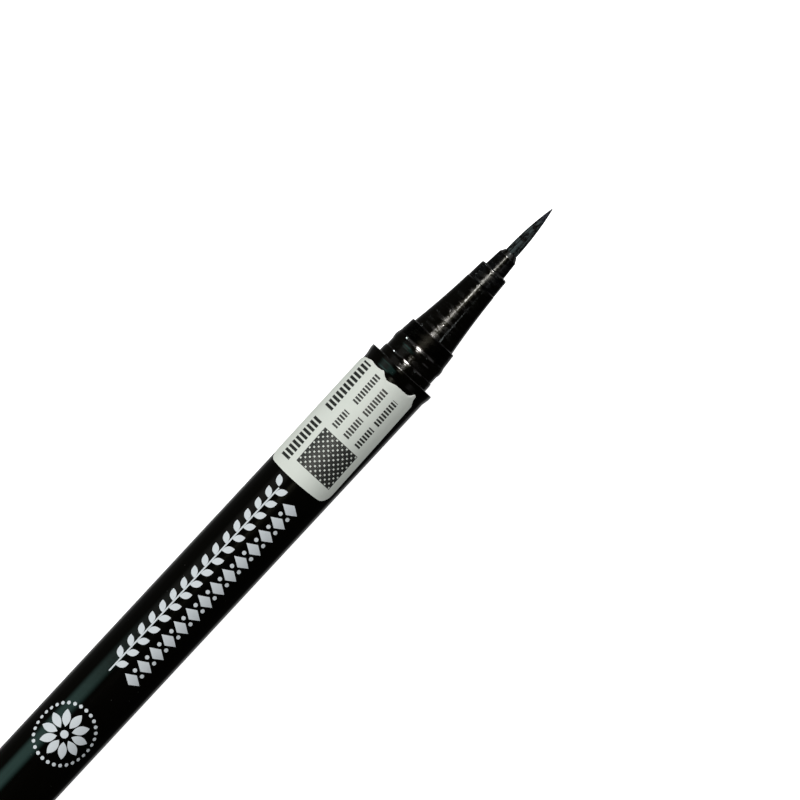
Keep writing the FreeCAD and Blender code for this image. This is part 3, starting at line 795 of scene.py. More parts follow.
class Growth(Tree):
    """A geometry tree with named inputs, the first of them its material."""

    def __init__(self, name):
        super().__init__(bpy.data.node_groups.new(name, "GeometryNodeTree"))
        self.tree.interface.new_socket("Geometry", in_out="OUTPUT", socket_type="NodeSocketGeometry")
        self.door = self.tree.nodes.new("NodeGroupInput")
        self.material = self.entry("Material", "Material")

    def entry(self, label, kind="Float"):
        """A named input."""
        self.tree.interface.new_socket(label, in_out="INPUT", socket_type="NodeSocket" + kind)
        return Wire(self, self.door.outputs[label])

    def entries(self, *labels):
        return [self.entry(label) for label in labels]

    def index(self):
        return self.add("GeometryNodeInputIndex")

    def place(self):
        """Each point's own x, y and z."""
        return self.split(self.add("GeometryNodeInputPosition"))

    def chance(self, low, high, seed):
        """A random number for each copy."""
        values = {2: low, 3: high, "Seed": seed}
        return self.add("FunctionNodeRandomValue", values, output=1, data_type="FLOAT")

    def moved(self, shape, x, y, z):
        """Geometry whose points are moved to new places."""
        return self.add("GeometryNodeSetPosition", {"Geometry": shape, "Position": self.join(x, y, z)})

    def grid(self, columns, rows):
        """A flat sheet that reaches half a metre to each side."""
        sizes = {"Size X": 1.0, "Size Y": 1.0, "Vertices X": columns, "Vertices Y": rows}
        return self.add("GeometryNodeMeshGrid", sizes)

    def disc(self, radius):
        """A flat round spot."""
        values = {"Vertices": DISC_SIDES, "Radius": radius}
        return self.add("GeometryNodeMeshCircle", values, fill_type="TRIANGLE_FAN")

    def leaf(self, leaf_length, leaf_width, start):
        """A flat pointed leaf along x."""
        x, y, _ = self.place()
        swell = 1.02 - 4.0 * x * x
        return self.moved(self.grid(11, 5), start + leaf_length * (x + 0.5), leaf_width * y * swell, 0.0)

    def row(self, number, first, step):
        """Points in a straight row."""
        return self.add("GeometryNodeMeshLine", {"Count": number, "Start Location": first, "Offset": step})

    def points(self, number, *places):
        """Loose points, at the origin unless they get places."""
        values = dict(zip(("Count", "Position"), (number, *places)))
        return self.add("GeometryNodePoints", values)

    def copies(self, shape, points, *turns):
        """Copies of a shape on points, turned if a rotation follows."""
        values = dict(zip(("Instance", "Points", "Rotation"), (shape, points, *turns)))
        return self.add("GeometryNodeInstanceOnPoints", values)

    def joined(self, *shapes):
        """Shapes and copies as one mesh."""
        together = self.add("GeometryNodeJoinGeometry", {"Geometry": list(shapes)})
        return self.add("GeometryNodeRealizeInstances", [together])

    def flipped(self, shape):
        return self.add("GeometryNodeFlipFaces", [shape])

    def tube(self, path, radius, sides):
        """A round tube with closed ends along a curve."""
        ring = self.add("GeometryNodeCurvePrimitiveCircle", {"Resolution": sides, "Radius": 1.0})
        values = {"Curve": path, "Profile Curve": ring, "Scale": radius, "Fill Caps": True}
        return self.add("GeometryNodeCurveToMesh", values)

    def smooth(self, shape):
        return self.add("GeometryNodeSetShadeSmooth", {"Geometry": shape})

    def close(self, shape):
        """Real geometry with its material, as the tree's result."""
        real = self.add("GeometryNodeRealizeInstances", [shape])
        done = self.add("GeometryNodeSetMaterial", {"Geometry": real, "Material": self.material})
        self.add("NodeGroupOutput", [done])


def by_label(group):
    """A group's values under the labels that the geometry trees give their inputs."""
    return {name.replace("_", " ").capitalize(): getattr(group, name) for name in group.__annotations__}


def grown(name, growth, inputs):
    """A plain mesh piece from a geometry tree and values for its named inputs."""
    holder = add_piece(name + "_holder", bpy.data.meshes.new(name + "_holder"))
    modifier = holder.modifiers.new("growth", "NODES")
    modifier.node_group = growth.tree
    for item in growth.tree.interface.items_tree:
        if item.in_out == "INPUT":
            modifier[item.identifier] = inputs[item.name]
    ready = holder.evaluated_get(bpy.context.evaluated_depsgraph_get())
    mesh = bpy.data.meshes.new_from_object(ready)
    mesh.name = name
    bpy.data.objects.remove(holder)
    return add_piece(name, mesh)


class Ornament(Growth):
    """A flat ornament that is given its thickness and laid round the barrel."""

    def __init__(self, name):
        super().__init__(name)
        self.thickness, self.radius = self.entries("Thickness", "Barrel radius")
        self.start, self.turn, self.height = self.entries("Start", "Turn", "Axis height")

    def print_on(self, flat):
        """Close the tree with the flat shape on the barrel: its y becomes the way round."""
        up = {"Offset": (0.0, 0.0, 1.0), "Offset Scale": self.thickness, "Individual": False}
        raised = self.add("GeometryNodeExtrudeMesh", {"Mesh": flat, **up}, mode="FACES")
        whole = self.joined(raised, self.flipped(flat))
        whole = self.add("GeometryNodeMergeByDistance", {"Geometry": whole, "Distance": WELD})
        x, y, z = self.place()
        way = self.turn + y / self.radius
        reach = self.radius + z
        self.close(self.moved(
            whole, self.start + x, reach * way.math("SINE"), self.height + reach * way.math("COSINE")
        ))


def vine_growth():
    """A row of leaves that lean to either side of a stem."""
    vine = Ornament("printed_vine")
    run, leaf_length, leaf_width = vine.entries("Run", "Leaf length", "Leaf width")
    lean, stem_width = vine.entries("Leaf lean", "Stem width")
    leaves = vine.entry("Leaves", "Int")
    row = vine.row(leaves, (0.0, 0.0, 0.0), vine.join(-(run / leaves), 0.0, 0.0))
    side = 1.0 - 2.0 * (vine.index() % 2.0)
    leaf = vine.leaf(leaf_length, leaf_width, LEAF_STALK * leaf_length)
    sprigs = vine.copies(leaf, row, vine.join(0.0, 0.0, side * lean))
    x, y, _ = vine.place()
    stem = vine.moved(vine.grid(120, 3), -run * (x + 0.5), stem_width * y, 0.0)
    vine.print_on(vine.joined(sprigs, vine.flipped(stem)))
    return vine


def chain_growth():
    """A row of lozenges with a pair of dots between each two."""
    chain = Ornament("printed_chain")
    run, dot_radius = chain.entries("Run", "Dot radius")
    height, width = chain.entries("Lozenge height", "Lozenge width")
    lozenges = chain.entry("Lozenges", "Int")
    pitch = run / lozenges
    step = chain.join(-pitch, 0.0, 0.0)
    x, y, _ = chain.place()
    lozenge = chain.moved(chain.grid(8, 8), 0.5 * width * (x - y), 0.5 * height * (x + y), 0.0)
    shapes = [chain.copies(lozenge, chain.row(lozenges, chain.join(-0.5 * pitch, 0.0, 0.0), step))]
    for side in (-DOT_PLACE, DOT_PLACE):
        dots = chain.row(lozenges - 1.0, chain.join(-pitch, side * height, 0.0), step)
        shapes.append(chain.copies(chain.disc(dot_radius), dots))
    chain.print_on(chain.joined(*shapes))
    return chain


def rosette_growth():
    """A ring of petals inside a ring of beads."""
    rosette = Ornament("printed_rosette")
    radius, bead_radius = rosette.entries("Rosette radius", "Bead radius")
    beads = rosette.entry("Beads", "Int")
    petals = rosette.entry("Petals", "Int")
    turns = rosette.index() * (2 * math.pi)
    petal = rosette.leaf(0.56 * radius, 0.27 * radius, 0.24 * radius)
    bloom = rosette.copies(petal, rosette.points(petals), rosette.join(0.0, 0.0, turns / petals))
    way = turns / beads
    rim = rosette.points(beads, rosette.join(radius * way.math("COSINE"), radius * way.math("SINE"), 0.0))
    wreath = rosette.copies(rosette.disc(bead_radius), rim)
    rosette.print_on(rosette.joined(bloom, rosette.disc(0.13 * radius), wreath))
    return rosette


def brush_growth():
    """Filaments in two layers over a core, drawn together to a point."""
    brush = Growth("brush_bundle")
    root, mouth, tip, height = brush.entries("Root", "Nozzle front", "Tip", "Axis height")
    radius, point, swell = brush.entries("Radius", "Point radius", "Swell")
    filament_radius, sway = brush.entries("Filament radius", "Sway")
    filaments = brush.entry("Filaments", "Int")
    seed = brush.entry("Seed", "Int")
    exposed = tip - mouth
    along = root + brush.add("GeometryNodeSplineParameter") * (tip - root)
    bare = ((along - mouth) / exposed).math("MAXIMUM", 0.0)
    profile = radius + (point - radius) * bare + 4.0 * swell * bare * (1.0 - bare)
    line = brush.add("GeometryNodeCurvePrimitiveLine", {"Start": (0.0, 0.0, 0.0), "End": (1.0, 0.0, 0.0)})
    line = brush.add("GeometryNodeResampleCurve", {"Curve": line, "Count": FILAMENT_STEPS})

    def layer(depth, phase, thickness):
        """Filaments round the bundle, at a share of its radius, each with a number of its own."""
        taper = thickness * filament_radius * (1.0 - 0.8 * bare * bare)
        path = brush.moved(line, along, 0.0, (profile - taper) * depth)
        stray = brush.chance(-FILAMENT_STRAY, FILAMENT_STRAY, seed)
        spin = (brush.index() + phase + stray) * (2 * math.pi) / filaments
        filament = brush.tube(path, taper, FILAMENT_SIDES)
        ring = brush.copies(filament, brush.points(filaments), brush.join(spin, 0.0, 0.0))
        values = {"Geometry": ring, "Name": STRAND, "Value": brush.chance(0.0, 1.0, seed)}
        return brush.add("GeometryNodeStoreNamedAttribute", values, data_type="FLOAT", domain="INSTANCE")

    core = brush.tube(brush.moved(line, along, 0.0, 0.0), CORE_SHARE * profile, CORE_SIDES)
    bundle = brush.joined(layer(1.0, 0.0, 1.0), layer(0.93, 0.5, 1.05), core)
    x, y, z = brush.place()
    waves = brush.stretch(brush.join(x, y, z), (250.0, 2200.0, 2200.0))
    _, drift_y, drift_z = brush.split(brush.noise(waves, 1.0, 1.0, output="Color"))
    free = brush.fade(x, mouth, mouth + 0.25 * exposed) * brush.fade(x, tip, tip - 0.5 * exposed)
    swing = sway * free
    bundle = brush.moved(bundle, x, y + swing * (drift_y - 0.5), height + z + swing * (drift_z - 0.5))
    brush.close(brush.smooth(bundle))
    return brush


def spring_growth():
    """An open coil of round wire along the pen's axis."""
    spring = Growth("liner_coil")
    start, rise, turns = spring.entries("Start", "Rise", "Turns")
    coil_radius, wire_radius, height = spring.entries("Coil radius", "Wire radius", "Axis height")
    radii = {"Start Radius": coil_radius, "End Radius": coil_radius}
    values = {"Resolution": COIL_STEPS, "Rotations": turns, "Height": rise, **radii}
    coil = spring.add("GeometryNodeCurveSpiral", values)
    x, y, z = spring.place()
    coil = spring.moved(coil, start + z, x, height + y)
    spring.close(spring.smooth(spring.tube(coil, wire_radius, WIRE_SIDES)))
    return spring


class EYELINER_OT_barrel(bpy.types.Operator):
    """Turn the barrel with its proud lip"""

    bl_idname = "eyeliner.barrel"
    bl_label = "Barrel"

    def execute(self, context):
        sizes = context.scene.pen_sizes
        at = stations()
        lip_sweep = 8 * sizes.lip_height
        corners = [
            (at.tail_x, at.barrel_r, sizes.edge_round),
            (at.lip_end_x, at.barrel_r, lip_sweep),
            (at.lip_x, at.lip_r, lip_sweep / 2),
            (0.0, at.lip_r, sizes.rim_round),
            (0.0, at.bore_r, sizes.edge_round),
            (at.tail_x, at.bore_r),
        ]
        barrel = turned("barrel", corners, finish("barrel_gloss"))
        settle(barrel, "pen", "black_plastic", "barrel_tube")
        return {"FINISHED"}


class EYELINER_OT_nose(bpy.types.Operator):
    """Turn the front section and the brush holder"""

    bl_idname = "eyeliner.nose"
    bl_label = "Nose"

    def execute(self, context):
        sizes = context.scene.pen_sizes
        at = stations()
        edge = sizes.edge_round
        seam = sizes.seam_chamfer
        bead = bow((at.neck_x, at.neck_r), (at.bead_x, at.flange_rear_r), at.bead_bow)
        cone = bow((at.flange_x, at.cone_base_r), (at.cone_front_x, at.cone_front_r), -sizes.cone_flare)
        crown_x = at.seat_x / 2
        crown_r = at.seat_r - sizes.neck_depth / 2
        crown = bow((crown_x, at.seat_r), (at.seat_x, crown_r), sizes.neck_depth / 6)
        section = [
            (at.skirt_x, at.seat_r, edge),
            (crown_x, at.seat_r),
            *crown,
            (at.seat_x, crown_r),
            (at.seat_x, at.neck_r, edge),
            (at.neck_x, at.neck_r),
            *bead,
            (at.bead_x, at.flange_rear_r),
            (at.flange_x, at.flange_front_r, sizes.rim_round),
            (at.flange_x, at.cone_base_r, edge),
            *cone,
            (at.cone_front_x - seam, at.cone_front_r),
            (at.cone_front_x, at.cone_front_r - seam),
            (at.cone_front_x, at.socket_r),
            (at.socket_x, at.socket_r),
            (at.socket_x, at.chamber_r),
            (sizes.collector_reach, at.chamber_r),
            (sizes.collector_reach, at.section_bore_r),
            (at.skirt_x, at.section_bore_r),
        ]
        piece = turned("nose_section", section, finish("section_gloss"))
        settle(piece, "pen", "section_plastic", "front_section")
        holder = [
            (at.spigot_x, at.spigot_r, edge),
            (at.cone_front_x, at.spigot_r),
            (at.cone_front_x, at.collar_rear_r - seam),
            (at.cone_front_x + seam, at.collar_rear_r),
            (at.collar_front_x, at.collar_front_r, sizes.collar_round),
            (at.collar_front_x, at.nozzle_rear_r, edge),
            (at.bevel_x, at.nozzle_front_r, 5 * edge),
            (at.nozzle_front_x, at.nozzle_lip_r, edge / 2),
            (at.nozzle_front_x, at.holder_bore_r, edge / 2),
            (at.butt_front_x, at.holder_bore_r),
            (at.butt_front_x, at.butt_seat_r),
            (at.spigot_x, at.butt_seat_r),
        ]
        piece = turned("nozzle", holder, finish("section_gloss"))
        settle(piece, "pen", "section_plastic", "brush_holder")
        return {"FINISHED"}


class EYELINER_OT_brush(bpy.types.Operator):
    """Bundle the brush from its filaments"""

    bl_idname = "eyeliner.brush"
    bl_label = "Brush"

    def execute(self, context):
        make = context.scene.brush_make
        at = stations()
        inputs = {
            **by_label(make),
            "Material": finish("wet_filaments"),
            "Root": MOUTH_X + at.butt_x,
            "Nozzle front": MOUTH_X + at.nozzle_front_x,
            "Tip": MOUTH_X + at.brush_tip_x,
            "Radius": at.tuft_r + make.fluff,
            "Point radius": at.tuft_point_r + make.fluff,
            "Swell": at.tuft_bow,
            "Axis height": AXIS_Z,
        }
        brush = grown("brush", brush_growth(), inputs)
        settle(brush, "pen", "brush_fibre", "brush_tuft")
        return {"FINISHED"}


class EYELINER_OT_seals(bpy.types.Operator):
    """Lay the two halves of the cut paper seal"""

    bl_idname = "eyeliner.seals"
    bl_label = "Seals"

    COLUMNS = 110
    ROWS = 84
    # How much the columns crowd towards the cut, and the share of the paper where its torn edge thins.
    CROWDING = 1.6
    TORN_FROM = 0.985
    TORN_LOSS = 0.75
    # Level of the uncut edge's foremost spot, from 0 at one side of the paper to 1 at the other.
    BULGE_LEVEL = 0.55
    # The peeled flap: its turn from straight up, how fast it falls off round the pen, its curl and limit.
    FLAP_TURN = -0.85
    FLAP_FALL = 2.2
    FLAP_CURL = 1.5
    FLAP_LIMIT = 1.6
    # Coarse and fine fibres of the cut edge: waves per degree, place in the noise, and millimetres.
    FRAYS = ((0.45, 3.7, 0.05), (1.3, 9.1, 0.03))

    # The cut edge: turn from straight up in degrees, and the gap to the cut in millimetres.
    BARREL_CUT = (
        (-58, 1.6), (-52, 0.9), (-48, 0.4), (-44, -0.3), (-40, -0.42), (-36, 0.15), (-32, 0.34), (-20, 0.36),
        (-8, 0.4), (-4, 0.5), (0, 0.62), (4, 0.74), (8, 0.73), (12, 0.6), (16, 0.35), (20, 0.03), (24, 0.2),
        (36, 0.29), (50, 0.14), (60, 0.27), (72, 0.43), (84, 0.7),
    )
    CAP_CUT = (
        (-60, 0.5), (-52, 0.2), (-38, 0.15), (-24, 0.32), (-11, 0.05), (3, -0.1), (16, 0.12), (30, 0.25),
        (45, 0.1), (60, 0.12), (70, 0.3), (80, 0.7),
    )

    # Strokes of the print as (height, pitch), and its rows as (middle across, strokes, runs along),
    # in millimetres from the paper's uncut end and lower edge.
    LARGE = (1.9, 0.72)
    SMALL = (1.0, 0.5)
    BARREL_ROWS = (
        (9.75, LARGE, ((1.6, 8.8), (10.5, 18.7))),
        (6.9, SMALL, ((9.2, 11.9), (13.5, 18.5))),
        (4.75, SMALL, ((9.2, 12.4), (13.2, 17.6))),
        (2.6, SMALL, ((9.2, 12.4), (13.2, 17.3))),
    )
    CAP_ROWS = (
        (9.75, LARGE, ((2.0, 11.5), (12.9, 16.2))),
        (6.9, SMALL, ((2.0, 8.2), (9.2, 15.8))),
        (4.75, SMALL, ((2.0, 7.0), (8.0, 15.0))),
        (2.6, SMALL, ((2.0, 9.6),)),
    )
    # The checker as (first, last, low, high, pitch), measured in the same way.
    BARREL_BLOCK = (2.3, 8.28, 1.4, 7.84, 0.46)

    def cut_gap(self, cut, degrees):
        """The cut edge's gap at one turn, between the listed ones, with small fibres."""
        gap = cut[-1][1]
        for (first, start), (last, stop) in zip(cut, cut[1:]):
            if degrees <= last:
                share = min(1.0, max(0.0, (degrees - first) / (last - first)))
                gap = start + (stop - start) * share * share * (3 - 2 * share)
                break
        for waves, place, depth in self.FRAYS:
            gap += depth * noise.noise(Vector((degrees * waves, place, 0.0)))
        return gap * MM

    def uncut_start(self, sizes, level):
        """How far from the uncut end the paper starts, for its round corners and its bulge."""
        inset = max(0.0, sizes.corner - min(level, 1 - level) * sizes.width)
        corner = sizes.corner - math.sqrt(sizes.corner ** 2 - inset ** 2)
        return corner + sizes.bulge * (2 * (level - self.BULGE_LEVEL)) ** 2

    def peel(self, sizes, past_cut, turn):
        """How far the flap stands off the pen."""
        near = max(0.0, past_cut / sizes.flap_reach + 0.5)
        side = max(0.0, math.cos(self.FLAP_FALL * (turn - self.FLAP_TURN)))
        return sizes.flap_rise * min(self.FLAP_LIMIT, near) ** self.FLAP_CURL * side

    def lay_seal(self, name, under_r, cut_x, paper, cut, flap, material):
        """A paper half from its rounded end to its cut end, curved round the axis."""
        sizes = bpy.context.scene.seal_sizes
        inner = under_r + sizes.lift
        half = sizes.width / (inner + sizes.thickness) / 2
        shape = bmesh.new()
        sheets = ([], [])
        print_spots = {}
        for sheet, thickness in zip(sheets, (0.0, sizes.thickness)):
            for row in range(self.ROWS + 1):
                level = 0.5 - 0.5 * math.cos(math.pi * row / self.ROWS)
                middle = sizes.turn + (level * 2 - 1) * half
                start = self.uncut_start(sizes, level)
                stop = paper - self.cut_gap(cut, math.degrees(middle + sizes.skew))
                line = []
                for column in range(self.COLUMNS + 1):
                    run = 1 - (1 - column / self.COLUMNS) ** self.CROWDING
                    distance = start + (stop - start) * run
                    turn = middle + sizes.skew * (2 * distance / paper - 1)
                    torn = max(0.0, run - self.TORN_FROM) / (1 - self.TORN_FROM)
                    radius = inner + thickness * (1 - self.TORN_LOSS * torn)
                    if flap:
                        radius += self.peel(sizes, distance - paper, turn)
                    across = (radius * math.sin(turn), AXIS_Z + radius * math.cos(turn))
                    vertex = shape.verts.new((cut_x - paper + distance, *across))
                    print_spots[vertex] = (distance / paper, level)
                    line.append(vertex)
                sheet.append(line)
        self.stitch(shape, *sheets)
        uv = shape.loops.layers.uv.new(SEAL_UV)
        for face in shape.faces:
            for loop in face.loops:
                loop[uv].uv = print_spots[loop.vert]
        return moulded(name, shape, material)

    def stitch(self, shape, lower, upper):
        """Faces over the two sheets of points and round their rim."""
        for row in range(self.ROWS):
            for column in range(self.COLUMNS):
                for sheet in (lower, upper):
                    near = sheet[row][column:column + 2]
                    far = sheet[row + 1][column:column + 2]
                    shape.faces.new((*near, *reversed(far)))
        rim = [(0, column) for column in range(self.COLUMNS)]
        rim += [(row, self.COLUMNS) for row in range(self.ROWS)]
        rim += [(self.ROWS, column) for column in range(self.COLUMNS, 0, -1)]
        rim += [(row, 0) for row in range(self.ROWS, 0, -1)]
        for (row, column), (next_row, next_column) in zip(rim, rim[1:] + rim[:1]):
            below = (lower[row][column], lower[next_row][next_column])
            above = (upper[next_row][next_column], upper[row][column])
            shape.faces.new(below + above)

    def execute(self, context):
        sizes = context.scene.seal_sizes
        at = stations()
        material = seal_paper("barrel_seal_paper", sizes.length, self.BARREL_ROWS, self.BARREL_BLOCK)
        cut_x = MOUTH_X + at.lip_end_x - sizes.margin
        seal = self.lay_seal(
            "seal_on_barrel", at.barrel_r, cut_x, sizes.length, self.BARREL_CUT, True, material
        )
        settle(seal, "pen", "label_paper", "barrel_seal_label")
        material = seal_paper("cap_seal_paper", sizes.cap_length, self.CAP_ROWS, None)
        cut_x = MOUTH_X + at.cap_mouth_x - sizes.cap_margin
        seal = self.lay_seal("seal_on_cap", at.lip_r, cut_x, sizes.cap_length, self.CAP_CUT, False, material)
        settle(seal, "cap", "label_paper", "cap_seal_label")
        return {"FINISHED"}


class EYELINER_OT_print(bpy.types.Operator):
    """Print the ornament on the barrel"""

    bl_idname = "eyeliner.print"
    bl_label = "Print"

    def execute(self, context):
        sizes = context.scene.print_sizes
        at = stations()
        common = {
            **by_label(sizes),
            "Material": finish("pale_print"),
            "Barrel radius": at.barrel_r,
            "Axis height": AXIS_Z,
        }
        ornaments = {
            "printed_vine": (vine_growth, sizes.start, sizes.vine_turn),
            "printed_chain": (chain_growth, sizes.start, sizes.chain_turn),
            "printed_rosette": (rosette_growth, sizes.rosette_place, 0.0),
        }
        for name, (growth, place, turn) in ornaments.items():
            piece = grown(name, growth(), {**common, "Start": MOUTH_X - place, "Turn": turn})
            settle(piece, "pen")
        return {"FINISHED"}


class EYELINER_OT_tail(bpy.types.Operator):
    """Turn the tail plug with the post for the cap"""

    bl_idname = "eyeliner.tail"
    bl_label = "Tail"

    def execute(self, context):
        sizes = context.scene.pen_sizes
        at = stations()
        edge = sizes.edge_round
        bead = bow((at.post_bead_x, at.flange_rear_r), (at.post_neck_x, at.neck_r), at.bead_bow)
        corners = [
            (at.post_end_x, 0.0),
            (at.post_end_x, at.post_end_r, sizes.rim_round),
            (at.post_bead_x, at.flange_rear_r),
            *bead,
            (at.post_neck_x, at.neck_r),
            (at.post_seat_x, at.neck_r, edge),
            (at.post_seat_x, at.seat_r, sizes.rim_round),
            (at.tail_face_x, at.seat_r, edge),
            (at.tail_face_x, at.barrel_r, sizes.rim_round),
            (at.tail_x, at.barrel_r, edge),
            (at.tail_x, at.seat_r),
            (at.plug_front_x, at.seat_r, edge),
            (at.plug_front_x, at.plug_bore_r, edge),
            (at.tail_x, at.plug_bore_r),
            (at.tail_x, 0.0),
        ]
        plug = turned("tail_post", corners, finish("section_gloss"), closed=False)
        settle(plug, "pen", "section_plastic", "tail_plug")
        return {"FINISHED"}


class EYELINER_OT_cap(bpy.types.Operator):
    """Turn the cap and its liner, and wind the liner's spring"""

    bl_idname = "eyeliner.cap"
    bl_label = "Cap"

    SPRING_TURNS = 4.5
    PRESS_JOINT = "inner_cap_press"

    def execute(self, context):
        sizes = context.scene.pen_sizes
        at = stations()
        edge = sizes.edge_round
        snap = bow((at.snap_x, at.cap_bore_r), (at.snap_rear_x, at.cap_bore_r), at.snap_bow)
        ridge = bow((at.ridge_x, at.cap_bore_r), (at.ridge_rear_x, at.cap_bore_r), at.ridge_bow)
        shell = [
            (at.cap_end_x, 0.0),
            (at.cap_end_x, at.lip_r, sizes.cap_end_round),
            (at.cap_mouth_x, at.lip_r, sizes.rim_round),
            (at.cap_mouth_x, at.cap_bore_r, edge),
            (at.snap_x, at.cap_bore_r),
            *snap,
            (at.snap_rear_x, at.cap_bore_r),
            (at.ridge_x, at.cap_bore_r),
            *ridge,
            (at.ridge_rear_x, at.cap_bore_r),
            (at.cap_floor_x, at.cap_bore_r, edge),
            (at.cap_floor_x, at.boss_r, edge),
            (at.cap_boss_x, at.boss_r, edge),
            (at.cap_boss_x, 0.0),
        ]
        cap = turned("cap", shell, finish("barrel_gloss"), closed=False)
        settle(cap, "cap", "black_plastic", "cap_shell")
        liner = [
            (at.liner_boss_x, 0.0),
            (at.liner_boss_x, at.boss_r, edge),
            (at.liner_end_x, at.boss_r, edge),
            (at.liner_end_x, at.liner_tube_end_r, 2 * edge),
            (at.liner_rim_x, at.liner_tube_r),
            (at.liner_rim_x, at.liner_rim_r, edge / 2),
            (at.liner_mouth_x, at.liner_rim_r, edge),
            (at.liner_mouth_x, at.liner_bore_r, 2 * edge),
            (at.liner_floor_x, at.liner_bore_end_r, 2 * edge),
            (at.liner_floor_x, 0.0),
        ]
        piece = turned("cap_liner", liner, finish("milky_moulding"), closed=False)
        settle(piece, "inner_cap", "natural_plastic", "inner_cap")
        wire_r = sizes.wire_diameter / 2
        rest_length = sizes.spring_length - 2 * sizes.face_gap
        spring = grown("liner_spring", spring_growth(), {
            "Material": finish("bright_steel"),
            "Start": MOUTH_X + at.cap_floor_x + sizes.face_gap + wire_r,
            "Rise": rest_length - 2 * wire_r,
            "Turns": self.SPRING_TURNS,
            "Coil radius": at.coil_r,
            "Wire radius": wire_r,
            "Axis height": AXIS_Z,
        })
        settle(spring, "cap", "steel", "inner_cap_spring")
        press = next(joint for joint in frame["joints"] if joint["name"] == self.PRESS_JOINT)
        travel = press["range_m"][1]
        anchor = (MOUTH_X + at.cap_floor_x + sizes.face_gap, 0.0, AXIS_Z)
        1 - travel / rest_length
        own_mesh(spring)
        return {"FINISHED"}


class EYELINER_OT_inside(bpy.types.Operator):
    """Give the solids inside the pen their finishes"""

    bl_idname = "eyeliner.inside"
    bl_label = "Inside"

    INSIDE = {
        "brush_retainer": "milky_moulding",
        "ink_collector": "milky_moulding",
        "feed_rod": "stained_fibre",
        "mixing_ball": "bright_steel",
    }

    def execute(self, context):
        for node, material in self.INSIDE.items():
            mesh = frame["nodes"][node].data
            mesh.materials.clear()
            mesh.materials.append(finish(material))
        return {"FINISHED"}


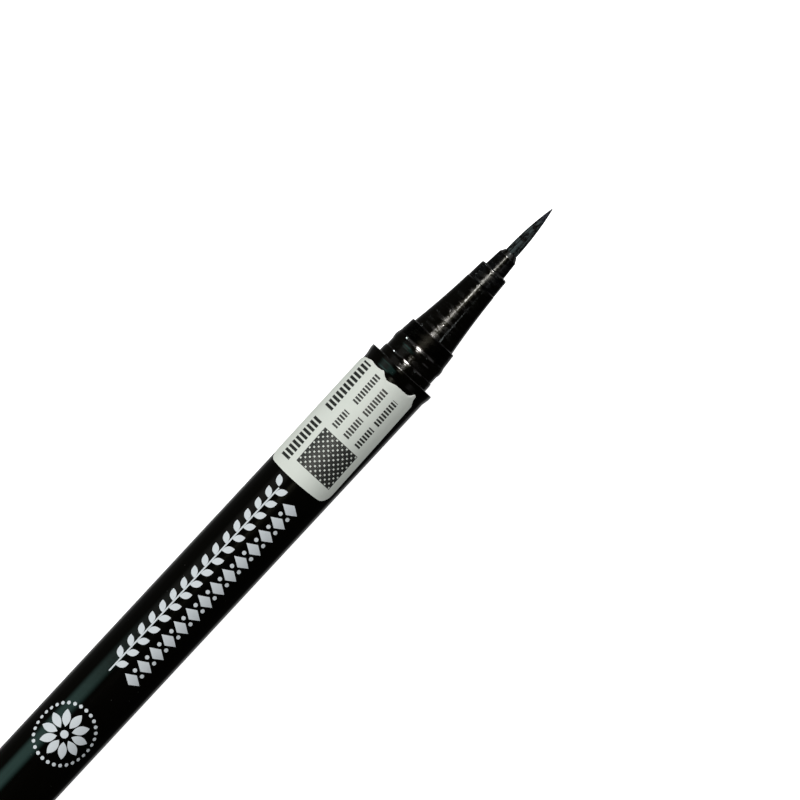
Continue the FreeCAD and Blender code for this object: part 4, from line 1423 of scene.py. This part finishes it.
class EYELINER_OT_stage(bpy.types.Operator):
    """Set the floor, the lights and the camera"""

    bl_idname = "eyeliner.stage"
    bl_label = "Stage"

    FLOOR_RADIUS = 6.0
    FLOOR_SIDES = 96
    FLOOR_GLOW = 1.05

    # The camera looks straight down at this spot of the pen, turned so that the pen lies across the picture.
    SIGHT_BEHIND_TIP = 33.39 * MM
    SIGHT_ASIDE = -2.51 * MM
    PICTURE_WIDTH = 109.65 * MM
    PEN_ACROSS = math.radians(-47.11)
    LENS = 300.0
    SENSOR = 36.0
    SIGHT_END = 20.0

    # Boxes that only show in gloss: direction from the nose, shift along the pen, brightness, tint,
    # size along and across the pen, and the share of that length over which they fade at the ends.
    LAMP_DISTANCE = 0.8
    WARM = (1.0, 0.97, 0.92)
    OLIVE = (1.0, 0.98, 0.68)
    TEAL = (0.38, 1.0, 0.88)
    COOL = (0.9, 1.0, 0.98)
    BOXES = {
        "side_box": ((0.0, 0.76, 0.65), -0.2, 0.85, TEAL, 0.2, 0.88, 0.12),
        "side_panel": ((0.0, 0.77, 0.64), -0.16, 0.2, WARM, 0.5, 0.8, 0.2),
        "lip_box": ((0.0, 0.46, 0.89), -0.35, 0.5, TEAL, 0.14, 0.6, 0.4),
        "top_strip": ((0.17, 0.16, 1.0), 0.0, 19.0, WARM, 0.25, 0.11, 0.4),
        "tip_strip": ((0.1, 0.14, 1.0), 0.0, 9.5, WARM, 0.12, 0.2, 0.4),
        "top_halo": ((0.2, 0.16, 1.0), 0.0, 0.8, OLIVE, 0.4, 0.5, 0.4),
        "top_panel": ((0.42, 0.0, 1.0), 0.0, 0.4, OLIVE, 0.36, 0.9, 0.4),
        "bead_box": ((0.6, 0.2, 1.0), 0.0, 75.0, WARM, 0.36, 0.36, 0.4),
        "bead_glint": ((0.4, 0.91, 0.1), 0.0, 60.0, COOL, 0.09, 0.11, 0.4),
        "low_strip": ((0.36, -0.76, 1.0), 0.0, 3.0, COOL, 0.12, 0.1, 0.4),
        "front_box": ((0.87, 0.1, 0.5), 0.0, 6.0, COOL, 0.3, 0.24, 0.4),
        "rear_box": ((-0.97, 0.0, 0.6), 0.0, 0.6, COOL, 0.4, 0.6, 0.4),
    }

    # The soft key, which lights paper and fibres and doesn't show in gloss.
    KEY_TOWARD = (0.0, 0.64, 0.77)
    KEY_POWER = 1.75
    KEY_TINT = (1.0, 1.0, 0.98)
    KEY_SPREAD = math.radians(50)

    def add_floor(self, context):
        shape = bmesh.new()
        bmesh.ops.create_circle(shape, cap_ends=True, segments=self.FLOOR_SIDES, radius=self.FLOOR_RADIUS)
        mesh = bpy.data.meshes.new("floor")
        shape.to_mesh(mesh)
        shape.free()
        material, tree = new_finish("pale_floor")
        pale = opaque(context.scene.pen_colours.floor)
        close_finish(
            tree, Base_Color=pale, Roughness=0.9, Emission_Color=pale, Emission_Strength=self.FLOOR_GLOW
        )
        mesh.materials.append(material)
        floor = add_piece("floor", mesh)
        floor.visible_glossy = False
        floor.visible_diffuse = False
        floor.visible_shadow = False

    def add_world(self, context):
        """Pale to the camera, soft for paper and fibres, and dim in the gloss of the black mouldings."""
        world = bpy.data.worlds.new("studio")
        world.use_nodes = True
        world.node_tree.nodes.clear()
        tree = Tree(world.node_tree)
        ray = tree.add("ShaderNodeLightPath")
        ahead, side, height = tree.split(tree.add("ShaderNodeTexCoord"))
        above = tree.fade(height, -0.1, 0.1)
        below = tree.fade(height, -0.2, -0.95)
        soft = 0.2 + 0.25 * above
        # In gloss: a faint side, a floor that is paler right below, and panels beyond the pen's ends.
        dim = 0.006 + 0.03 * tree.fade(side, 0.5, 0.95) + below * (0.015 + 0.06 * tree.fade(side, 0.0, 0.3))
        dim = dim + 0.35 * tree.fade(height, -0.7, -0.92)
        slant = tree.fade(ahead.math("ABSOLUTE"), 0.3, 0.5)
        panels = tree.fade(height, 0.15, 0.35) * tree.fade(height, 0.75, 0.55)
        dim = dim + slant * (0.9 * panels + 0.5 * tree.fade(height, -0.15, -0.6))
        seen = ray.other("Is Camera Ray")
        glossy = ray.other("Is Glossy Ray")
        strength = seen + (1.0 - seen) * (glossy * dim + (1.0 - glossy) * soft)
        sky = tree.add("ShaderNodeBackground", {"Strength": strength})
        tree.add("ShaderNodeOutputWorld", [sky])
        context.scene.world = world

    def add_lamp(self, name, kind, toward, power, tint, shift=0.0, **settings):
        """A lamp in one direction from the pen's nose, turned to it and then shifted along the pen."""
        lamp = bpy.data.lights.new(name, kind)
        lamp.energy = power
        lamp.color = tint
        for key, value in settings.items():
            setattr(lamp, key, value)
        holder = add_piece(name, lamp)
        toward = Vector(toward).normalized()
        nose = Vector((MOUTH_X + stations().flange_x, 0.0, AXIS_Z))
        holder.location = nose + toward * self.LAMP_DISTANCE + Vector((shift, 0.0, 0.0))
        holder.rotation_euler = toward.to_track_quat("Z", "Y").to_euler()
        holder.visible_camera = False
        return holder

    @staticmethod
    def soften(lamp, ends):
        """Let a box's light fade towards its ends and, more, towards its sides."""
        lamp.use_nodes = True
        lamp.node_tree.nodes.clear()
        tree = Tree(lamp.node_tree)
        along, across, _ = tree.split(tree.add("ShaderNodeNewGeometry", output="Parametric"))
        strength = tree.fade(along, 0.0, ends) * tree.fade(along, 1.0, 1.0 - ends)
        strength = strength * tree.fade(across, 0.0, 0.4) * tree.fade(across, 1.0, 0.6)
        glow = tree.add("ShaderNodeEmission", {"Strength": strength})
        tree.add("ShaderNodeOutputLight", [glow])

    def add_lights(self):
        key = self.add_lamp(
            "soft_key", "SUN", self.KEY_TOWARD, self.KEY_POWER, self.KEY_TINT, angle=self.KEY_SPREAD
        )
        key.visible_glossy = False
        for name, (toward, shift, glow, tint, wide, deep, ends) in self.BOXES.items():
            power = glow * wide * deep * math.pi
            area = {"shape": "RECTANGLE", "size": wide, "size_y": deep}
            box = self.add_lamp(name, "AREA", toward, power, tint, shift, **area)
            box.visible_diffuse = False
            self.soften(box.data, ends)

    def add_camera(self, context):
        lens = bpy.data.cameras.new("camera")
        lens.lens = self.LENS
        lens.sensor_width = self.SENSOR
        lens.clip_end = self.SIGHT_END
        camera = add_piece("camera", lens)
        distance = self.PICTURE_WIDTH * self.LENS / self.SENSOR
        tip = MOUTH_X + stations().brush_tip_x
        camera.location = (tip - self.SIGHT_BEHIND_TIP, self.SIGHT_ASIDE, AXIS_Z + distance)
        camera.rotation_euler = (0.0, 0.0, self.PEN_ACROSS)
        context.scene.camera = camera

    def execute(self, context):
        self.add_floor(context)
        self.add_world(context)
        self.add_lights()
        self.add_camera(context)
        context.scene.view_settings.view_transform = "Standard"
        return {"FINISHED"}


OPERATORS = (
    EYELINER_OT_stage,
    EYELINER_OT_barrel,
    EYELINER_OT_nose,
    EYELINER_OT_brush,
    EYELINER_OT_seals,
    EYELINER_OT_print,
    EYELINER_OT_tail,
    EYELINER_OT_cap,
    EYELINER_OT_inside,
)

GROUPS = {
    "pen_sizes": PenSizes,
    "seal_sizes": SealSizes,
    "print_sizes": PrintSizes,
    "brush_make": BrushMake,
    "pen_colours": PenColours,
}


class EYELINER_PT_pieces(bpy.types.Panel):
    """Pieces of the pen and the values that shape them"""

    bl_idname = "EYELINER_PT_pieces"
    bl_label = "Eyeliner pen"
    bl_space_type = "VIEW_3D"
    bl_region_type = "UI"
    bl_category = "Eyeliner"

    def draw(self, context):
        for operator in OPERATORS:
            self.layout.operator(operator.bl_idname)
        for group in GROUPS:
            box = self.layout.box()
            for name in GROUPS[group].__annotations__:
                box.prop(getattr(context.scene, group), name)


CLASSES = (*GROUPS.values(), *OPERATORS, EYELINER_PT_pieces)


def register():
    for item in CLASSES:
        bpy.utils.register_class(item)
    for name, group in GROUPS.items():
        setattr(bpy.types.Scene, name, PointerProperty(type=group))


def unregister():
    for name in GROUPS:
        delattr(bpy.types.Scene, name)
    for item in reversed(CLASSES):
        bpy.utils.unregister_class(item)


def main():
    register()
    for operator in OPERATORS:
        family, name = operator.bl_idname.split(".")
        getattr(getattr(bpy.ops, family), name)()


if __name__ == "__main__":
    main()
